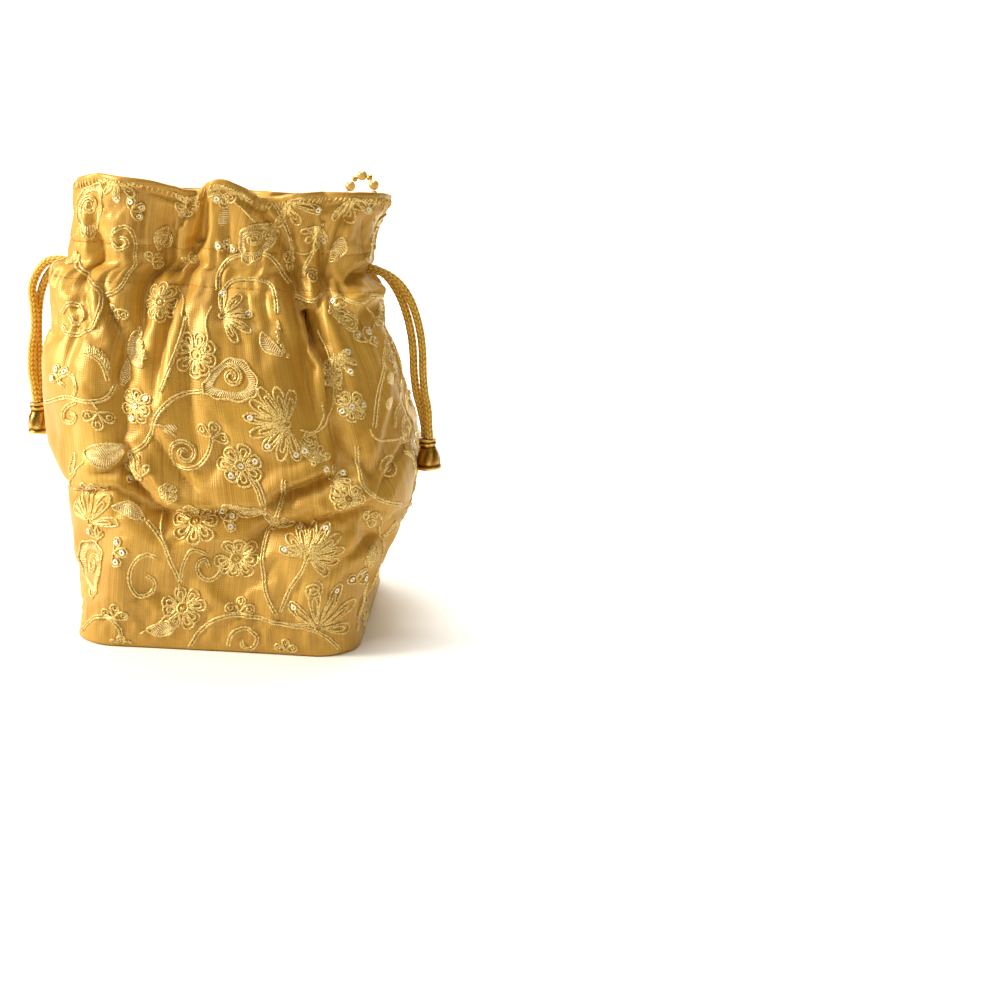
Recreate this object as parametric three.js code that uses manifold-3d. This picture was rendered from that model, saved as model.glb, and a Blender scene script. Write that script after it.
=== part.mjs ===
// A drawstring purse: a gathered silk bag on a stiff rounded square base, with two drawcords
// that end in bells, a lining and a string of beads for a handle.
// Millimetres, +Z up, the front faces -Y, the origin is the middle of the base's resting face.

import * as THREE from "three";
import { mergeVertices } from "three/addons/utils/BufferGeometryUtils.js";
import Module from "manifold-3d";

// Driving sizes of the cloth tube
const CLOTH_HEIGHT = 222;
const BASE_SIDE = 140;
const BASE_CORNER = 22;
const BELLY_WIDTH = 178;
const SHOULDER_WIDTH = 167;
const NECK_WIDTH = 150;
const NECK_DEPTH = 66;
const MOUTH_WIDTH = 153;
const MOUTH_DEPTH = 76;
const LEAN = 11; // how far the neck leans to the left of the base
const FOLD_DEPTH = 11; // a full fold, from its crest to its valley
const FOLD_REACH = 16; // how far a plain fold runs to each side of its valley
const CLOTH_WALL = 1.5;
const LINING_WALL = 1.0;
const LINING_SLACK = 5; // how much looser than the cloth the lining hangs in the body
const LINING_DROP = 8; // how far below the rim the lining is sewn

// Clearances
const CLEARANCE = 0.3;

// Base panel
const BASE_THICKNESS = 3;

// Drawcords, bells and the bead handle
const CORD_DIAMETER = 4.4;
const CORD_BEND = 8; // radius in which a cord turns from the channel to its opening
const EYELET_SLACK = 1; // room round the two strands in the opening
const BELL_LENGTH = 16;
const BELL_MOUTH = 13;
const BELL_COLLAR = 9.4;
const BELL_WALL = 0.8;
const BEAD_DIAMETER = 5.4;
const SPACER_DIAMETER = 3;
const BEAD_PITCH = 8.6;

// Levels as shares of the cloth's height
const RIM = 1;
const NECK = 0.8;
const SHOULDER = 0.68;
const BELLY = 0.45;
const CHANNEL_HALF = 0.04;
const SLACK_RISE = 0.1; // the rise over which the lining's slack sets in at the foot and the neck

const FOLD_WIDENING = 0.7; // how much wider a fold runs at the belly than at the neck
const STEEPEST_WALL = 1.8; // the most that a wall's inset grows on the side of a fold

// Counts and steps
const CLOTH_COLUMNS = 52;
const CORD_SIDES = 8;
const STRAND_STEPS = 18;
const RUN_STEPS = 26;
const CORD_RING_POINTS = 20;
const BELL_SIDES = 16;
const BEAD_SIDES = 10;

// Sections of the cloth from the base to the rim. "rise" is a share of the cloth's height,
// "round" the corner radius as a share of the half depth, and "lean" a share of LEAN.
const SECTIONS = [
  { rise: 0.0, width: BASE_SIDE, depth: BASE_SIDE, round: BASE_CORNER / (BASE_SIDE / 2), lean: -0.05 },
  { rise: 0.06, width: 0.975 * BASE_SIDE, depth: BASE_SIDE, round: 0.36, lean: -0.05 },
  { rise: 0.15, width: 1.045 * BASE_SIDE, depth: 0.99 * BASE_SIDE, round: 0.46, lean: 0.1 },
  { rise: 0.27, width: 0.91 * BELLY_WIDTH, depth: 0.97 * BASE_SIDE, round: 0.6, lean: 0.35 },
  { rise: 0.42, width: BELLY_WIDTH, depth: 0.93 * BASE_SIDE, round: 0.74, lean: -0.05 },
  { rise: 0.58, width: 0.985 * BELLY_WIDTH, depth: 0.83 * BASE_SIDE, round: 0.84, lean: -0.65 },
  { rise: 0.69, width: SHOULDER_WIDTH, depth: 0.69 * BASE_SIDE, round: 0.92, lean: -0.9 },
  { rise: 0.765, width: 0.985 * SHOULDER_WIDTH, depth: 1.18 * NECK_DEPTH, round: 0.96, lean: -1.1 },
  { rise: 0.792, width: 1.06 * NECK_WIDTH, depth: 1.05 * NECK_DEPTH, round: 0.97, lean: -1.05 },
  { rise: 0.815, width: NECK_WIDTH, depth: NECK_DEPTH, round: 0.97, lean: -0.85 },
  { rise: 0.9, width: 1.01 * NECK_WIDTH, depth: 1.04 * NECK_DEPTH, round: 0.97, lean: -0.65 },
  { rise: 1.0, width: MOUTH_WIDTH, depth: MOUTH_DEPTH, round: 0.97, lean: -0.2 },
];

// Folds that run up and down. Places are shares of the way round, from the left seam over the
// front (0.25) and the right seam (0.5) to the back (0.75), at the rim, the neck and the belly.
// Depths are shares of FOLD_DEPTH at the rim, neck, shoulder and belly. Reaches are shares of
// FOLD_REACH to the left and right of the valley, at the rim and in the body. "ends" is the rise
// at which the fold has faded out.
const FOLDS = [
  { name: "left seam", at: [0, 0, 0], depth: [0.25, 0.55, 0.5, 0],
    left: [1, 1], right: [1, 1], ends: 0.4 },
  { name: "left lobe", at: [0.088, 0.104, 0.112], depth: [0.2, 0.6, 0.4, 0.25],
    left: [1.2, 0.8], right: [1, 0.8], ends: 0.36 },
  { name: "front left", at: [0.216, 0.19, 0.172], depth: [0.8, 0.95, 0.85, 0.55],
    left: [2.1, 1.1], right: [0.45, 0.9], ends: 0.28 },
  { name: "lobe left", at: [0.228, 0.232, 0.238], depth: [0.2, 0.75, 0.5, 0.2],
    left: [0.5, 0.9], right: [0.4, 0.45], ends: 0.33 },
  { name: "lobe right", at: [0.286, 0.352, 0.345], depth: [0.75, 0.95, 1.2, 0.55],
    left: [0.8, 0.8], right: [1.9, 1.3], ends: 0.3 },
  { name: "front right", at: [0.372, 0.398, 0.41], depth: [0.55, 0.85, 0.3, 0],
    left: [1.3, 0.8], right: [1.2, 0.9], ends: 0.4 },
  { name: "right seam", at: [0.5, 0.5, 0.5], depth: [0.3, 0.6, 0.5, 0],
    left: [1, 1], right: [1, 1], ends: 0.4 },
  { name: "back 1", at: [0.572, 0.58, 0.57], depth: [0.5, 0.8, 0.6, 0.35],
    left: [1, 1], right: [1.1, 1.1], ends: 0.4 },
  { name: "back 2", at: [0.65, 0.646, 0.655], depth: [0.7, 0.9, 0.8, 0.4],
    left: [0.9, 0.9], right: [1.3, 1.3], ends: 0.34 },
  { name: "back 3", at: [0.722, 0.716, 0.73], depth: [0.6, 0.8, 0.6, 0.3],
    left: [1.2, 1], right: [0.9, 0.9], ends: 0.4 },
  { name: "back 4", at: [0.796, 0.79, 0.802], depth: [0.75, 0.95, 0.85, 0.45],
    left: [1.2, 1.2], right: [0.9, 1], ends: 0.32 },
  { name: "back 5", at: [0.866, 0.862, 0.872], depth: [0.55, 0.8, 0.55, 0.3],
    left: [1, 1], right: [1, 1.1], ends: 0.4 },
  { name: "back 6", at: [0.934, 0.932, 0.94], depth: [0.5, 0.75, 0.5, 0.2],
    left: [0.9, 0.9], right: [1.1, 1.1], ends: 0.4 },
];

// Slanting tucks, each from one (way round, rise) to another, with its depth as a share of
// FOLD_DEPTH and its half width as a share of FOLD_REACH.
const TUCKS = [
  { name: "left flap", from: [0.15, 0.43], to: [0.212, 0.27], depth: 0.4, half: 0.9 },
  { name: "middle", from: [0.27, 0.25], to: [0.345, 0.34], depth: 0.4, half: 0.9 },
  { name: "right", from: [0.37, 0.28], to: [0.45, 0.22], depth: 0.35, half: 0.9 },
  { name: "left", from: [0.04, 0.36], to: [0.11, 0.3], depth: 0.3, half: 0.8 },
  { name: "right puff", from: [0.355, 0.5], to: [0.4, 0.38], depth: 0.35, half: 0.9 },
  { name: "back left", from: [0.86, 0.3], to: [0.78, 0.22], depth: 0.4, half: 0.9 },
  { name: "back right", from: [0.6, 0.36], to: [0.69, 0.25], depth: 0.4, half: 0.9 },
];

// How far the rim drops, as shares of FOLD_DEPTH, along the way round.
const RIM_DROPS = [
  { at: 0.0, drop: 0.55 },
  { at: 0.05, drop: 0.3 },
  { at: 0.1, drop: 0.05 },
  { at: 0.16, drop: 0.2 },
  { at: 0.216, drop: 0.6 },
  { at: 0.23, drop: 0.2 },
  { at: 0.25, drop: 0.0 },
  { at: 0.275, drop: 0.3 },
  { at: 0.295, drop: 0.75 },
  { at: 0.35, drop: 0.4 },
  { at: 0.42, drop: 0.3 },
  { at: 0.5, drop: 0.45 },
  { at: 0.6, drop: 0.8 },
  { at: 0.75, drop: 0.75 },
  { at: 0.88, drop: 0.8 },
  { at: 1.0, drop: 0.55 },
];

// Rises at which the cloth and the lining have a ring of points. The lining skips the levels
// where it hangs loose.
const LINING_TOP = 1 - LINING_DROP / CLOTH_HEIGHT;
const FOOT_RING = 0.06;
const BODY_RINGS = [FOOT_RING, 0.16, 0.25, 0.34, 0.42, 0.5, 0.58, 0.66];
const NECK_RINGS = [0.72, 0.76, 0.8, 0.84, 0.87, 0.91, LINING_TOP];
const CLOTH_RINGS = [...BODY_RINGS, ...NECK_RINGS];
const LINING_SKIPS = [0.25, 0.42, 0.58, 0.66];
const LINING_RINGS = CLOTH_RINGS.filter((rise) => !LINING_SKIPS.includes(rise));

// The free strands as [x, z, turn], chosen by hand: out of the side openings, over the shoulders
// and down to the bells. The two strands of a side run beside each other. turn is how many
// degrees the pair has turned from front and back towards outer and inner.
const LEFT_STRAND = [
  [-82, 175.4, 0],
  [-89, 176.6, 20],
  [-95.5, 174.6, 50],
  [-100, 169.5, 65],
  [-103.1, 162, 50],
  [-103.7, 153, 10],
  [-104, 143, 0],
  [-105, 132, 20],
  [-105.4, 121, 25],
  [-104.8, 112, 10],
  [-104.4, 104.5, 0],
];
const RIGHT_STRAND = [
  [60, 180.4, 0],
  [66, 180.4, 0],
  [72, 178.2, 15],
  [77.6, 173.4, 40],
  [82.2, 166.6, 60],
  [85.8, 157.7, 70],
  [88.2, 148.5, 75],
  [89.4, 140, 75],
  [90.2, 128.5, 70],
  [91.6, 119, 60],
  [93.8, 110.5, 50],
  [95.2, 102, 30],
  [95.8, 96, 30],
];

// A cord's turn from its ring in the channel to its opening, as shares of CORD_BEND: outwards
// from the ring and sideways from the seam.
const CORD_TURN = [
  { outwards: 0.55, sideways: 0.42 },
  { outwards: 0, sideways: 0.85 },
];
const CORD_JOINS = 0.075; // the share of the way round, from the seam, at which it joins its ring
const STRAND_INSIDE = 1.1; // how far inside its opening a strand begins, as a share of CORD_BEND

// The end cap's outside from its crown to its mouth, and its inside from its mouth to its
// ceiling. "down" is a share of BELL_LENGTH, and the diameters are shares of the collar's or
// the mouth's.
const BELL_OUTSIDE = [
  { down: 0, diameter: 0.86 * BELL_COLLAR },
  { down: 0.06, diameter: BELL_COLLAR },
  { down: 0.22, diameter: BELL_COLLAR },
  { down: 0.3, diameter: 0.86 * BELL_COLLAR },
  { down: 0.46, diameter: 0.84 * BELL_MOUTH },
  { down: 0.74, diameter: 0.97 * BELL_MOUTH },
  { down: 1, diameter: BELL_MOUTH },
];
const BELL_INSIDE = [
  { down: 1, diameter: BELL_MOUTH },
  { down: 0.74, diameter: 0.96 * BELL_MOUTH },
  { down: 0.46, diameter: 0.84 * BELL_MOUTH },
  { down: 0.35, diameter: 0.76 * BELL_COLLAR },
];

// A bead and the spacer after it: "along" is a share of the bead's half length, and "radius" a
// share of its radius.
const BEAD_PROFILE = [
  { along: -1, radius: 0.45 },
  { along: -0.4, radius: 1 },
  { along: 0.4, radius: 1 },
  { along: 1, radius: 0.45 },
];

// The bead handle as [x, y, height above the rim], chosen by hand: from the right seam's inside
// over the rim, down through the neck in a swag and up to the inside of the left seam.
const HANDLE_ROUTE = [
  [58.5, 3, -20.8],
  [61.5, 4.5, -12.3],
  [64.8, 6, -4.3],
  [62, 8, 2.3],
  [56, 9.5, 2.7],
  [51, 9.5, -4.8],
  [48, 8.5, -16.3],
  [44.5, 7, -28.3],
  [40.5, 5, -41.3],
  [34, 4, -57.3],
  [23, 2, -75.3],
  [9, 1, -87.3],
  [-9, 0, -91.8],
  [-27, 0, -87.3],
  [-41, 1, -75.3],
  [-51, 2, -58.3],
  [-57.5, 3, -41.3],
  [-63, 3.5, -27.3],
  [-69, 3.5, -17.8],
];

const FOOT = CLEARANCE; // the cloth ends just above the surface that the base panel rests on
const levelOf = (rise) => FOOT + rise * CLOTH_HEIGHT;
const riseOf = (z) => (z - FOOT) / CLOTH_HEIGHT;
const NECK_LEVEL = levelOf(NECK);

function smooth(t) {
  const s = Math.min(1, Math.max(0, t));
  return s * s * (3 - 2 * s);
}

function mix(a, b, t) {
  return a + (b - a) * t;
}

// A cubic through the points (xs, ys) that never overshoots them.
function curve(x, xs, ys) {
  const last = xs.length - 1;
  const at = Math.min(xs[last], Math.max(xs[0], x));
  const rate = (i) => (ys[i + 1] - ys[i]) / (xs[i + 1] - xs[i]);
  const slope = (i) => {
    if (i === 0) return rate(0);
    if (i === last) return rate(last - 1);
    const before = rate(i - 1);
    const after = rate(i);
    return before * after > 0 ? (2 * before * after) / (before + after) : 0;
  };
  let i = 0;
  while (i < last - 1 && at >= xs[i + 1]) i += 1;
  const step = xs[i + 1] - xs[i];
  const t = (at - xs[i]) / step;
  const t2 = t * t;
  const t3 = t2 * t;
  return (
    (2 * t3 - 3 * t2 + 1) * ys[i] +
    (t3 - 2 * t2 + t) * step * slope(i) +
    (3 * t2 - 2 * t3) * ys[i + 1] +
    (t3 - t2) * step * slope(i + 1)
  );
}

function columnOf(table, column) {
  return table.map((row) => row[column]);
}

const SECTION_RISES = columnOf(SECTIONS, "rise");

function sectionAt(rise) {
  const value = (column) => curve(rise, SECTION_RISES, columnOf(SECTIONS, column));
  const a = value("width") / 2;
  const b = value("depth") / 2;
  return { a, b, r: value("round") * Math.min(a, b), lean: value("lean") * LEAN };
}

// The point and outward direction on a rounded rectangle, at a share of the way round it.
function onOval(a, b, r, around) {
  const u = around - Math.floor(around);
  const quarter = Math.floor(u * 4);
  const within = u * 4 - quarter;
  const t = quarter % 2 === 1 ? 1 - within : within;
  const sx = quarter === 0 || quarter === 3 ? -1 : 1;
  const sy = quarter < 2 ? -1 : 1;
  const arc = (r * Math.PI) / 2;
  const s = t * (b - r + arc + a - r);
  if (s < b - r) return { x: sx * a, y: sy * s, nx: sx, ny: 0 };
  if (s < b - r + arc) {
    const turn = (s - (b - r)) / r;
    const c = Math.cos(turn);
    const d = Math.sin(turn);
    return { x: sx * (a - r + r * c), y: sy * (b - r + r * d), nx: sx * c, ny: sy * d };
  }
  return { x: sx * (a - r - (s - (b - r) - arc)), y: sy * b, nx: 0, ny: sy };
}

function girthOf(section) {
  return 4 * (section.a + section.b) - 8 * section.r + 2 * Math.PI * section.r;
}

// The signed share of the way round from one place to another, between -0.5 and 0.5.
function wayFrom(place, around) {
  const way = around - place + 0.5;
  return way - Math.floor(way) - 0.5;
}

// How far a fold or tuck pulls the cloth in at a distance from its valley.
function valley(distance, reach) {
  return Math.max(0, 1 - Math.abs(distance) / reach) ** 2;
}

// How far all folds together pull the cloth in.
function foldAt(around, rise) {
  const girth = girthOf(sectionAt(rise));
  const opening = smooth((rise - NECK) / (RIM - NECK));
  const widening = 1 + FOLD_WIDENING * smooth((NECK - rise) / (NECK - BELLY));
  let pull = 0;
  for (const fold of FOLDS) {
    if (rise < fold.ends) continue;
    const [rim, neck, belly] = fold.at;
    const place = curve(rise, [0, BELLY, NECK, RIM], [belly, belly, neck, rim]);
    const rises = [fold.ends, BELLY, SHOULDER, NECK, RIM];
    const depth = curve(rise, rises, [0, ...[...fold.depth].reverse()]);
    const distance = wayFrom(place, around) * girth;
    const [reachRim, reachBody] = distance < 0 ? fold.left : fold.right;
    const reach = FOLD_REACH * mix(reachBody, reachRim, opening) * widening;
    pull += depth * valley(distance, reach);
  }
  for (const tuck of TUCKS) {
    const across = wayFrom(tuck.from[0], around) * girth;
    const up = (rise - tuck.from[1]) * CLOTH_HEIGHT;
    const runAcross = (tuck.to[0] - tuck.from[0]) * girth;
    const runUp = (tuck.to[1] - tuck.from[1]) * CLOTH_HEIGHT;
    const along = (across * runAcross + up * runUp) / (runAcross ** 2 + runUp ** 2);
    const t = Math.min(1, Math.max(0, along));
    const distance = Math.hypot(across - t * runAcross, up - t * runUp);
    const fade = smooth(1 - Math.abs(2 * t - 1) ** 3);
    pull += tuck.depth * valley(distance, FOLD_REACH * tuck.half) * fade;
  }
  return pull * FOLD_DEPTH;
}

function rimDropAt(around) {
  const u = around - Math.floor(around);
  return FOLD_DEPTH * curve(u, columnOf(RIM_DROPS, "at"), columnOf(RIM_DROPS, "drop"));
}

// A point on the outer face of the cloth, moved inwards by an inset.
function clothPoint(around, rise, inset) {
  const section = sectionAt(rise);
  const p = onOval(section.a, section.b, section.r, around);
  const inwards = foldAt(around, rise) + inset;
  const z = levelOf(rise) - rimDropAt(around) * smooth((rise - NECK) / (RIM - NECK));
  return new THREE.Vector3(p.x - p.nx * inwards + section.lean, p.y - p.ny * inwards, z);
}

// How much an inset has to grow so that the wall keeps its thickness on the side of a fold.
function slant(around, rise) {
  const step = 0.004;
  const girth = girthOf(sectionAt(rise));
  const side = (foldAt(around + step, rise) - foldAt(around - step, rise)) / (2 * step * girth);
  return Math.min(STEEPEST_WALL, Math.hypot(1, side));
}

// A ring of points round the cloth at one rise.
function clothRing(rise, insetAt) {
  const ring = [];
  for (let i = 0; i < CLOTH_COLUMNS; i += 1) {
    const around = i / CLOTH_COLUMNS;
    ring.push(clothPoint(around, rise, insetAt(around, rise)));
  }
  return ring;
}

// A closed body from rings of points, each joined to the next, and the last to the first unless
// the body is capped with a point at each end. From the ring "turned" on, the rings come back
// down an inner face, and its facets are split along the same diagonals as the outer face's.
function bodyFromRings(rings, turned, caps) {
  const positions = [];
  const indices = [];
  const count = rings[0].length;
  for (const ring of rings) {
    for (const point of ring) positions.push(point.x, point.y, point.z);
  }
  const join = (first, second) => {
    for (let i = 0; i < count; i += 1) {
      const next = (i + 1) % count;
      const a = first * count + i;
      const b = first * count + next;
      const c = second * count + next;
      const d = second * count + i;
      if (first >= turned) indices.push(a, b, d, b, c, d);
      else indices.push(a, b, c, a, c, d);
    }
  };
  for (let k = 0; k + 1 < rings.length; k += 1) join(k, k + 1);
  if (caps) {
    const start = positions.length / 3;
    positions.push(caps[0].x, caps[0].y, caps[0].z, caps[1].x, caps[1].y, caps[1].z);
    const lastRing = (rings.length - 1) * count;
    for (let i = 0; i < count; i += 1) {
      const next = (i + 1) % count;
      indices.push(start, next, i);
      indices.push(start + 1, lastRing + i, lastRing + next);
    }
  } else {
    join(rings.length - 1, 0);
  }
  const geometry = new THREE.BufferGeometry();
  geometry.setAttribute("position", new THREE.Float32BufferAttribute(positions, 3));
  geometry.setIndex(indices);
  return geometry;
}

// An open tube of cloth: up its outer face and down its inner face.
function clothTube() {
  const rises = [0, ...CLOTH_RINGS, RIM];
  const outer = rises.map((rise) => clothRing(rise, () => 0));
  const innerInset = (around, rise) => CLOTH_WALL * slant(around, rise);
  const inner = rises.map((rise) => clothRing(rise, innerInset)).reverse();
  return bodyFromRings([...outer, ...inner], outer.length);
}

// The lining's outer face keeps clear of the cloth, hangs looser in the body and runs inside the
// drawcords in the channel.
const DEEPEST_NECK_FOLD = FOLD_DEPTH * Math.max(...FOLDS.map((fold) => fold.depth[1]));
const CORD_ROOM = 0.6; // spare room between the deepest fold and the cords
const CORD_INSET = DEEPEST_NECK_FOLD + CLOTH_WALL + CLEARANCE + CORD_DIAMETER / 2 + CORD_ROOM;
const CHANNEL_INSET = CORD_INSET + CORD_DIAMETER / 2 + 2 * CORD_ROOM + CLEARANCE;

function liningPoint(around, rise, extra) {
  const sewn = (CLOTH_WALL + CLEARANCE) * slant(around, rise);
  const loose = LINING_SLACK * smooth((NECK - rise) / SLACK_RISE) * smooth(rise / SLACK_RISE);
  const hanging = clothPoint(around, rise, sewn + loose + extra);
  const inChannel = 1 - smooth((Math.abs(rise - NECK) - CHANNEL_HALF) / CHANNEL_HALF);
  return hanging.lerp(channelPoint(around, hanging.z, CHANNEL_INSET + extra), inChannel);
}

function liningRing(rise, extra) {
  const ring = [];
  for (let i = 0; i < CLOTH_COLUMNS; i += 1) ring.push(liningPoint(i / CLOTH_COLUMNS, rise, extra));
  return ring;
}

function liningCup() {
  const floor = BASE_THICKNESS + CLEARANCE;
  const floorRing = (extra) => {
    const ring = clothRing(0, () => CLOTH_WALL + CLEARANCE + extra);
    const above = clothRing(FOOT_RING, () => CLOTH_WALL + CLEARANCE + extra);
    const share = floor / levelOf(FOOT_RING);
    return ring.map((point, i) => point.lerp(above[i], share).setZ(floor + extra));
  };
  const outer = [floorRing(0), ...LINING_RINGS.map((rise) => liningRing(rise, 0))];
  const inner = LINING_RINGS.map((rise) => liningRing(rise, LINING_WALL)).reverse();
  const centre = (z) => new THREE.Vector3(0, 0, z);
  const caps = [centre(floor), centre(floor + LINING_WALL)];
  return bodyFromRings([...outer, ...inner, floorRing(LINING_WALL)], outer.length, caps);
}

// The stiff base panel fills the foot of the cloth and stands proud of its hem.
function basePanel() {
  const atHem = clothRing(0, () => CLOTH_WALL + CLEARANCE);
  const above = clothRing(FOOT_RING, () => CLOTH_WALL + CLEARANCE);
  const outline = atHem.map((point, i) => point.lerp(above[i], BASE_THICKNESS / levelOf(FOOT_RING)));
  const shape = new THREE.Shape(outline.map((point) => new THREE.Vector2(point.x, point.y)));
  return new THREE.ExtrudeGeometry(shape, { depth: BASE_THICKNESS, bevelEnabled: false });
}

function roundSection(diameter, sides) {
  const shape = new THREE.Shape();
  for (let i = 0; i < sides; i += 1) {
    const turn = (i / sides) * 2 * Math.PI;
    const x = (diameter / 2) * Math.cos(turn);
    const y = (diameter / 2) * Math.sin(turn);
    if (i === 0) shape.moveTo(x, y);
    else shape.lineTo(x, y);
  }
  return shape;
}

// A point of a level ring in the channel, at an inset that stays clear of the folds.
function channelPoint(around, level, inset) {
  const section = sectionAt(NECK);
  const p = onOval(section.a - inset, section.b - inset, section.r - inset, around);
  return new THREE.Vector3(p.x + section.lean, p.y, level);
}

// side is -1 for the cord that leaves at the left seam and +1 for the one at the right seam.
// The right cord runs above the left one.
function cordLevel(side) {
  return NECK_LEVEL + side * (CORD_DIAMETER / 2 + CLEARANCE);
}

const STRAND_SPREAD = CORD_DIAMETER / 2 + CLEARANCE; // each strand's distance from the seam's plane

// A free strand, from its opening to its bell. way is -1 for the front strand, which turns
// outwards, and +1 for the back one.
function strandRoute(side, way) {
  const route = side < 0 ? LEFT_STRAND : RIGHT_STRAND;
  return route.map(([x, z, degrees], i) => {
    const [xBefore, zBefore] = route[Math.max(0, i - 1)];
    const [xAfter, zAfter] = route[Math.min(route.length - 1, i + 1)];
    const run = Math.hypot(xAfter - xBefore, zBefore - zAfter);
    const turn = THREE.MathUtils.degToRad(degrees);
    const outwards = (-way * side * STRAND_SPREAD * Math.sin(turn)) / run;
    return new THREE.Vector3(
      x + outwards * (zBefore - zAfter),
      way * STRAND_SPREAD * Math.cos(turn),
      z + outwards * (xAfter - xBefore),
    );
  });
}

// A whole drawcord, from the front strand's end through the channel to the back strand's end.
function cordPath(side) {
  const level = cordLevel(side);
  const section = sectionAt(NECK);
  const seam = side < 0 ? 0 : 0.5;
  const seamX = side * (section.a - CORD_INSET) + section.lean;
  const turn = (way) =>
    CORD_TURN.map(({ outwards, sideways }) => {
      const x = seamX + side * outwards * CORD_BEND;
      return new THREE.Vector3(x, way * sideways * CORD_BEND, level);
    });
  const ring = [];
  for (let i = 0; i <= CORD_RING_POINTS; i += 1) {
    const around = seam + mix(CORD_JOINS, 1 - CORD_JOINS, i / CORD_RING_POINTS);
    ring.push(channelPoint(around, level, CORD_INSET));
  }
  // Going round from the left seam, the front comes first; from the right seam, the back does.
  const first = side;
  const points = [
    ...strandRoute(side, first).reverse(),
    ...turn(first),
    ...ring,
    ...turn(-first).reverse(),
    ...strandRoute(side, -first),
  ];
  return { path: new THREE.CatmullRomCurve3(points, false, "centripetal"), first };
}

// A stretch of a longer curve, between two lengths along it.
class Stretch extends THREE.Curve {
  constructor(whole, from, to) {
    super();
    this.whole = whole;
    this.from = from;
    this.to = to;
  }

  getPoint(t, target = new THREE.Vector3()) {
    const share = mix(this.from, this.to, t) / this.whole.getLength();
    return this.whole.getPointAt(Math.min(1, Math.max(0, share)), target);
  }
}

function cordAlong(path, steps) {
  return new THREE.ExtrudeGeometry(roundSection(CORD_DIAMETER, CORD_SIDES), {
    steps,
    bevelEnabled: false,
    extrudePath: path,
  });
}

// The cord's hidden run and its two free strands, cut face to face just inside the opening.
function cordPieces(side) {
  const { path, first } = cordPath(side);
  path.arcLengthDivisions = 2000;
  const whole = path.getLength();
  const strandLength = (way) => {
    const free = new THREE.CatmullRomCurve3(strandRoute(side, way), false, "centripetal").getLength();
    return free + STRAND_INSIDE * CORD_BEND;
  };
  const startCut = strandLength(first);
  const endCut = whole - strandLength(-first);
  const start = cordAlong(new Stretch(path, 0, startCut), STRAND_STEPS);
  const end = cordAlong(new Stretch(path, endCut, whole), STRAND_STEPS);
  const run = cordAlong(new Stretch(path, startCut + CLEARANCE, endCut - CLEARANCE), RUN_STEPS);
  return { run, front: first < 0 ? start : end, back: first < 0 ? end : start };
}

// The end cap of a pair of strands: a collar, a waist and a flared open mouth.
function bellShape() {
  const point = ({ down, diameter }, wall) => new THREE.Vector2(diameter / 2 - wall, -down * BELL_LENGTH);
  const outside = BELL_OUTSIDE.map((row) => point(row, 0));
  const inside = BELL_INSIDE.map((row) => point(row, BELL_WALL));
  const top = new THREE.Vector2(0, 0);
  const ceiling = new THREE.Vector2(0, inside[inside.length - 1].y);
  const profile = [ceiling, ...inside.reverse(), ...outside.reverse(), top];
  return new THREE.LatheGeometry(profile, BELL_SIDES);
}

// A bell hangs below its strands' last point, in line with their last stretch.
function bell(side) {
  const geometry = bellShape();
  geometry.rotateX(Math.PI / 2);
  const route = side < 0 ? LEFT_STRAND : RIGHT_STRAND;
  const [x, z] = route[route.length - 1];
  const [xBefore, zBefore] = route[route.length - 2];
  const lean = Math.atan2(x - xBefore, zBefore - z);
  const mesh = new THREE.Mesh(geometry);
  mesh.rotation.y = -lean;
  mesh.position.set(x + CLEARANCE * Math.sin(lean), 0, z - CLEARANCE * Math.cos(lean));
  return mesh;
}

// Beads and spacers on one thread, as one body swept along the handle's route.
function beadString() {
  const rimLevel = levelOf(RIM);
  const points = HANDLE_ROUTE.map(([x, y, up]) => new THREE.Vector3(x, y, rimLevel + up));
  const path = new THREE.CatmullRomCurve3(points, false, "centripetal");
  const length = path.getLength();
  const beads = Math.round(length / BEAD_PITCH);
  const pitch = length / beads;
  const ball = BEAD_DIAMETER / 2;
  const profile = BEAD_PROFILE.map(({ along, radius }) => [(along * ball) / pitch, radius * ball]);
  profile.push([0.5, SPACER_DIAMETER / 2]);
  const rings = [];
  const upright = new THREE.Vector3(0, 1, 0);
  for (let bead = 0; bead < beads; bead += 1) {
    for (const [along, radius] of profile) {
      const share = (bead + 0.5 + along) / beads;
      if (share === 1) continue;
      const middle = path.getPointAt(share);
      const forward = path.getTangentAt(share);
      const side = new THREE.Vector3().crossVectors(upright, forward).normalize();
      const up = new THREE.Vector3().crossVectors(forward, side).normalize();
      const ring = [];
      for (let i = 0; i < BEAD_SIDES; i += 1) {
        const turn = (i / BEAD_SIDES) * 2 * Math.PI;
        ring.push(
          middle
            .clone()
            .addScaledVector(side, radius * Math.cos(turn))
            .addScaledVector(up, radius * Math.sin(turn)),
        );
      }
      rings.push(ring);
    }
  }
  const middleOf = (ring) => {
    const sum = ring.reduce((total, p) => total.add(p), new THREE.Vector3());
    return sum.divideScalar(ring.length);
  };
  return bodyFromRings(rings, rings.length, [middleOf(rings[0]), middleOf(rings[rings.length - 1])]);
}

const wasm = await Module();
wasm.setup();

function solidOf(geometry) {
  const bare = geometry.clone();
  bare.deleteAttribute("normal");
  bare.deleteAttribute("uv");
  const merged = mergeVertices(bare, 1e-5);
  return new wasm.Manifold(
    new wasm.Mesh({
      numProp: 3,
      vertProperties: new Float32Array(merged.attributes.position.array),
      triVerts: new Uint32Array(merged.index.array),
    }),
  );
}

function geometryOf(solid) {
  const mesh = solid.getMesh();
  const geometry = new THREE.BufferGeometry();
  geometry.setAttribute("position", new THREE.BufferAttribute(new Float32Array(mesh.vertProperties), 3));
  geometry.setIndex(new THREE.BufferAttribute(new Uint32Array(mesh.triVerts), 1));
  return geometry;
}

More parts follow.
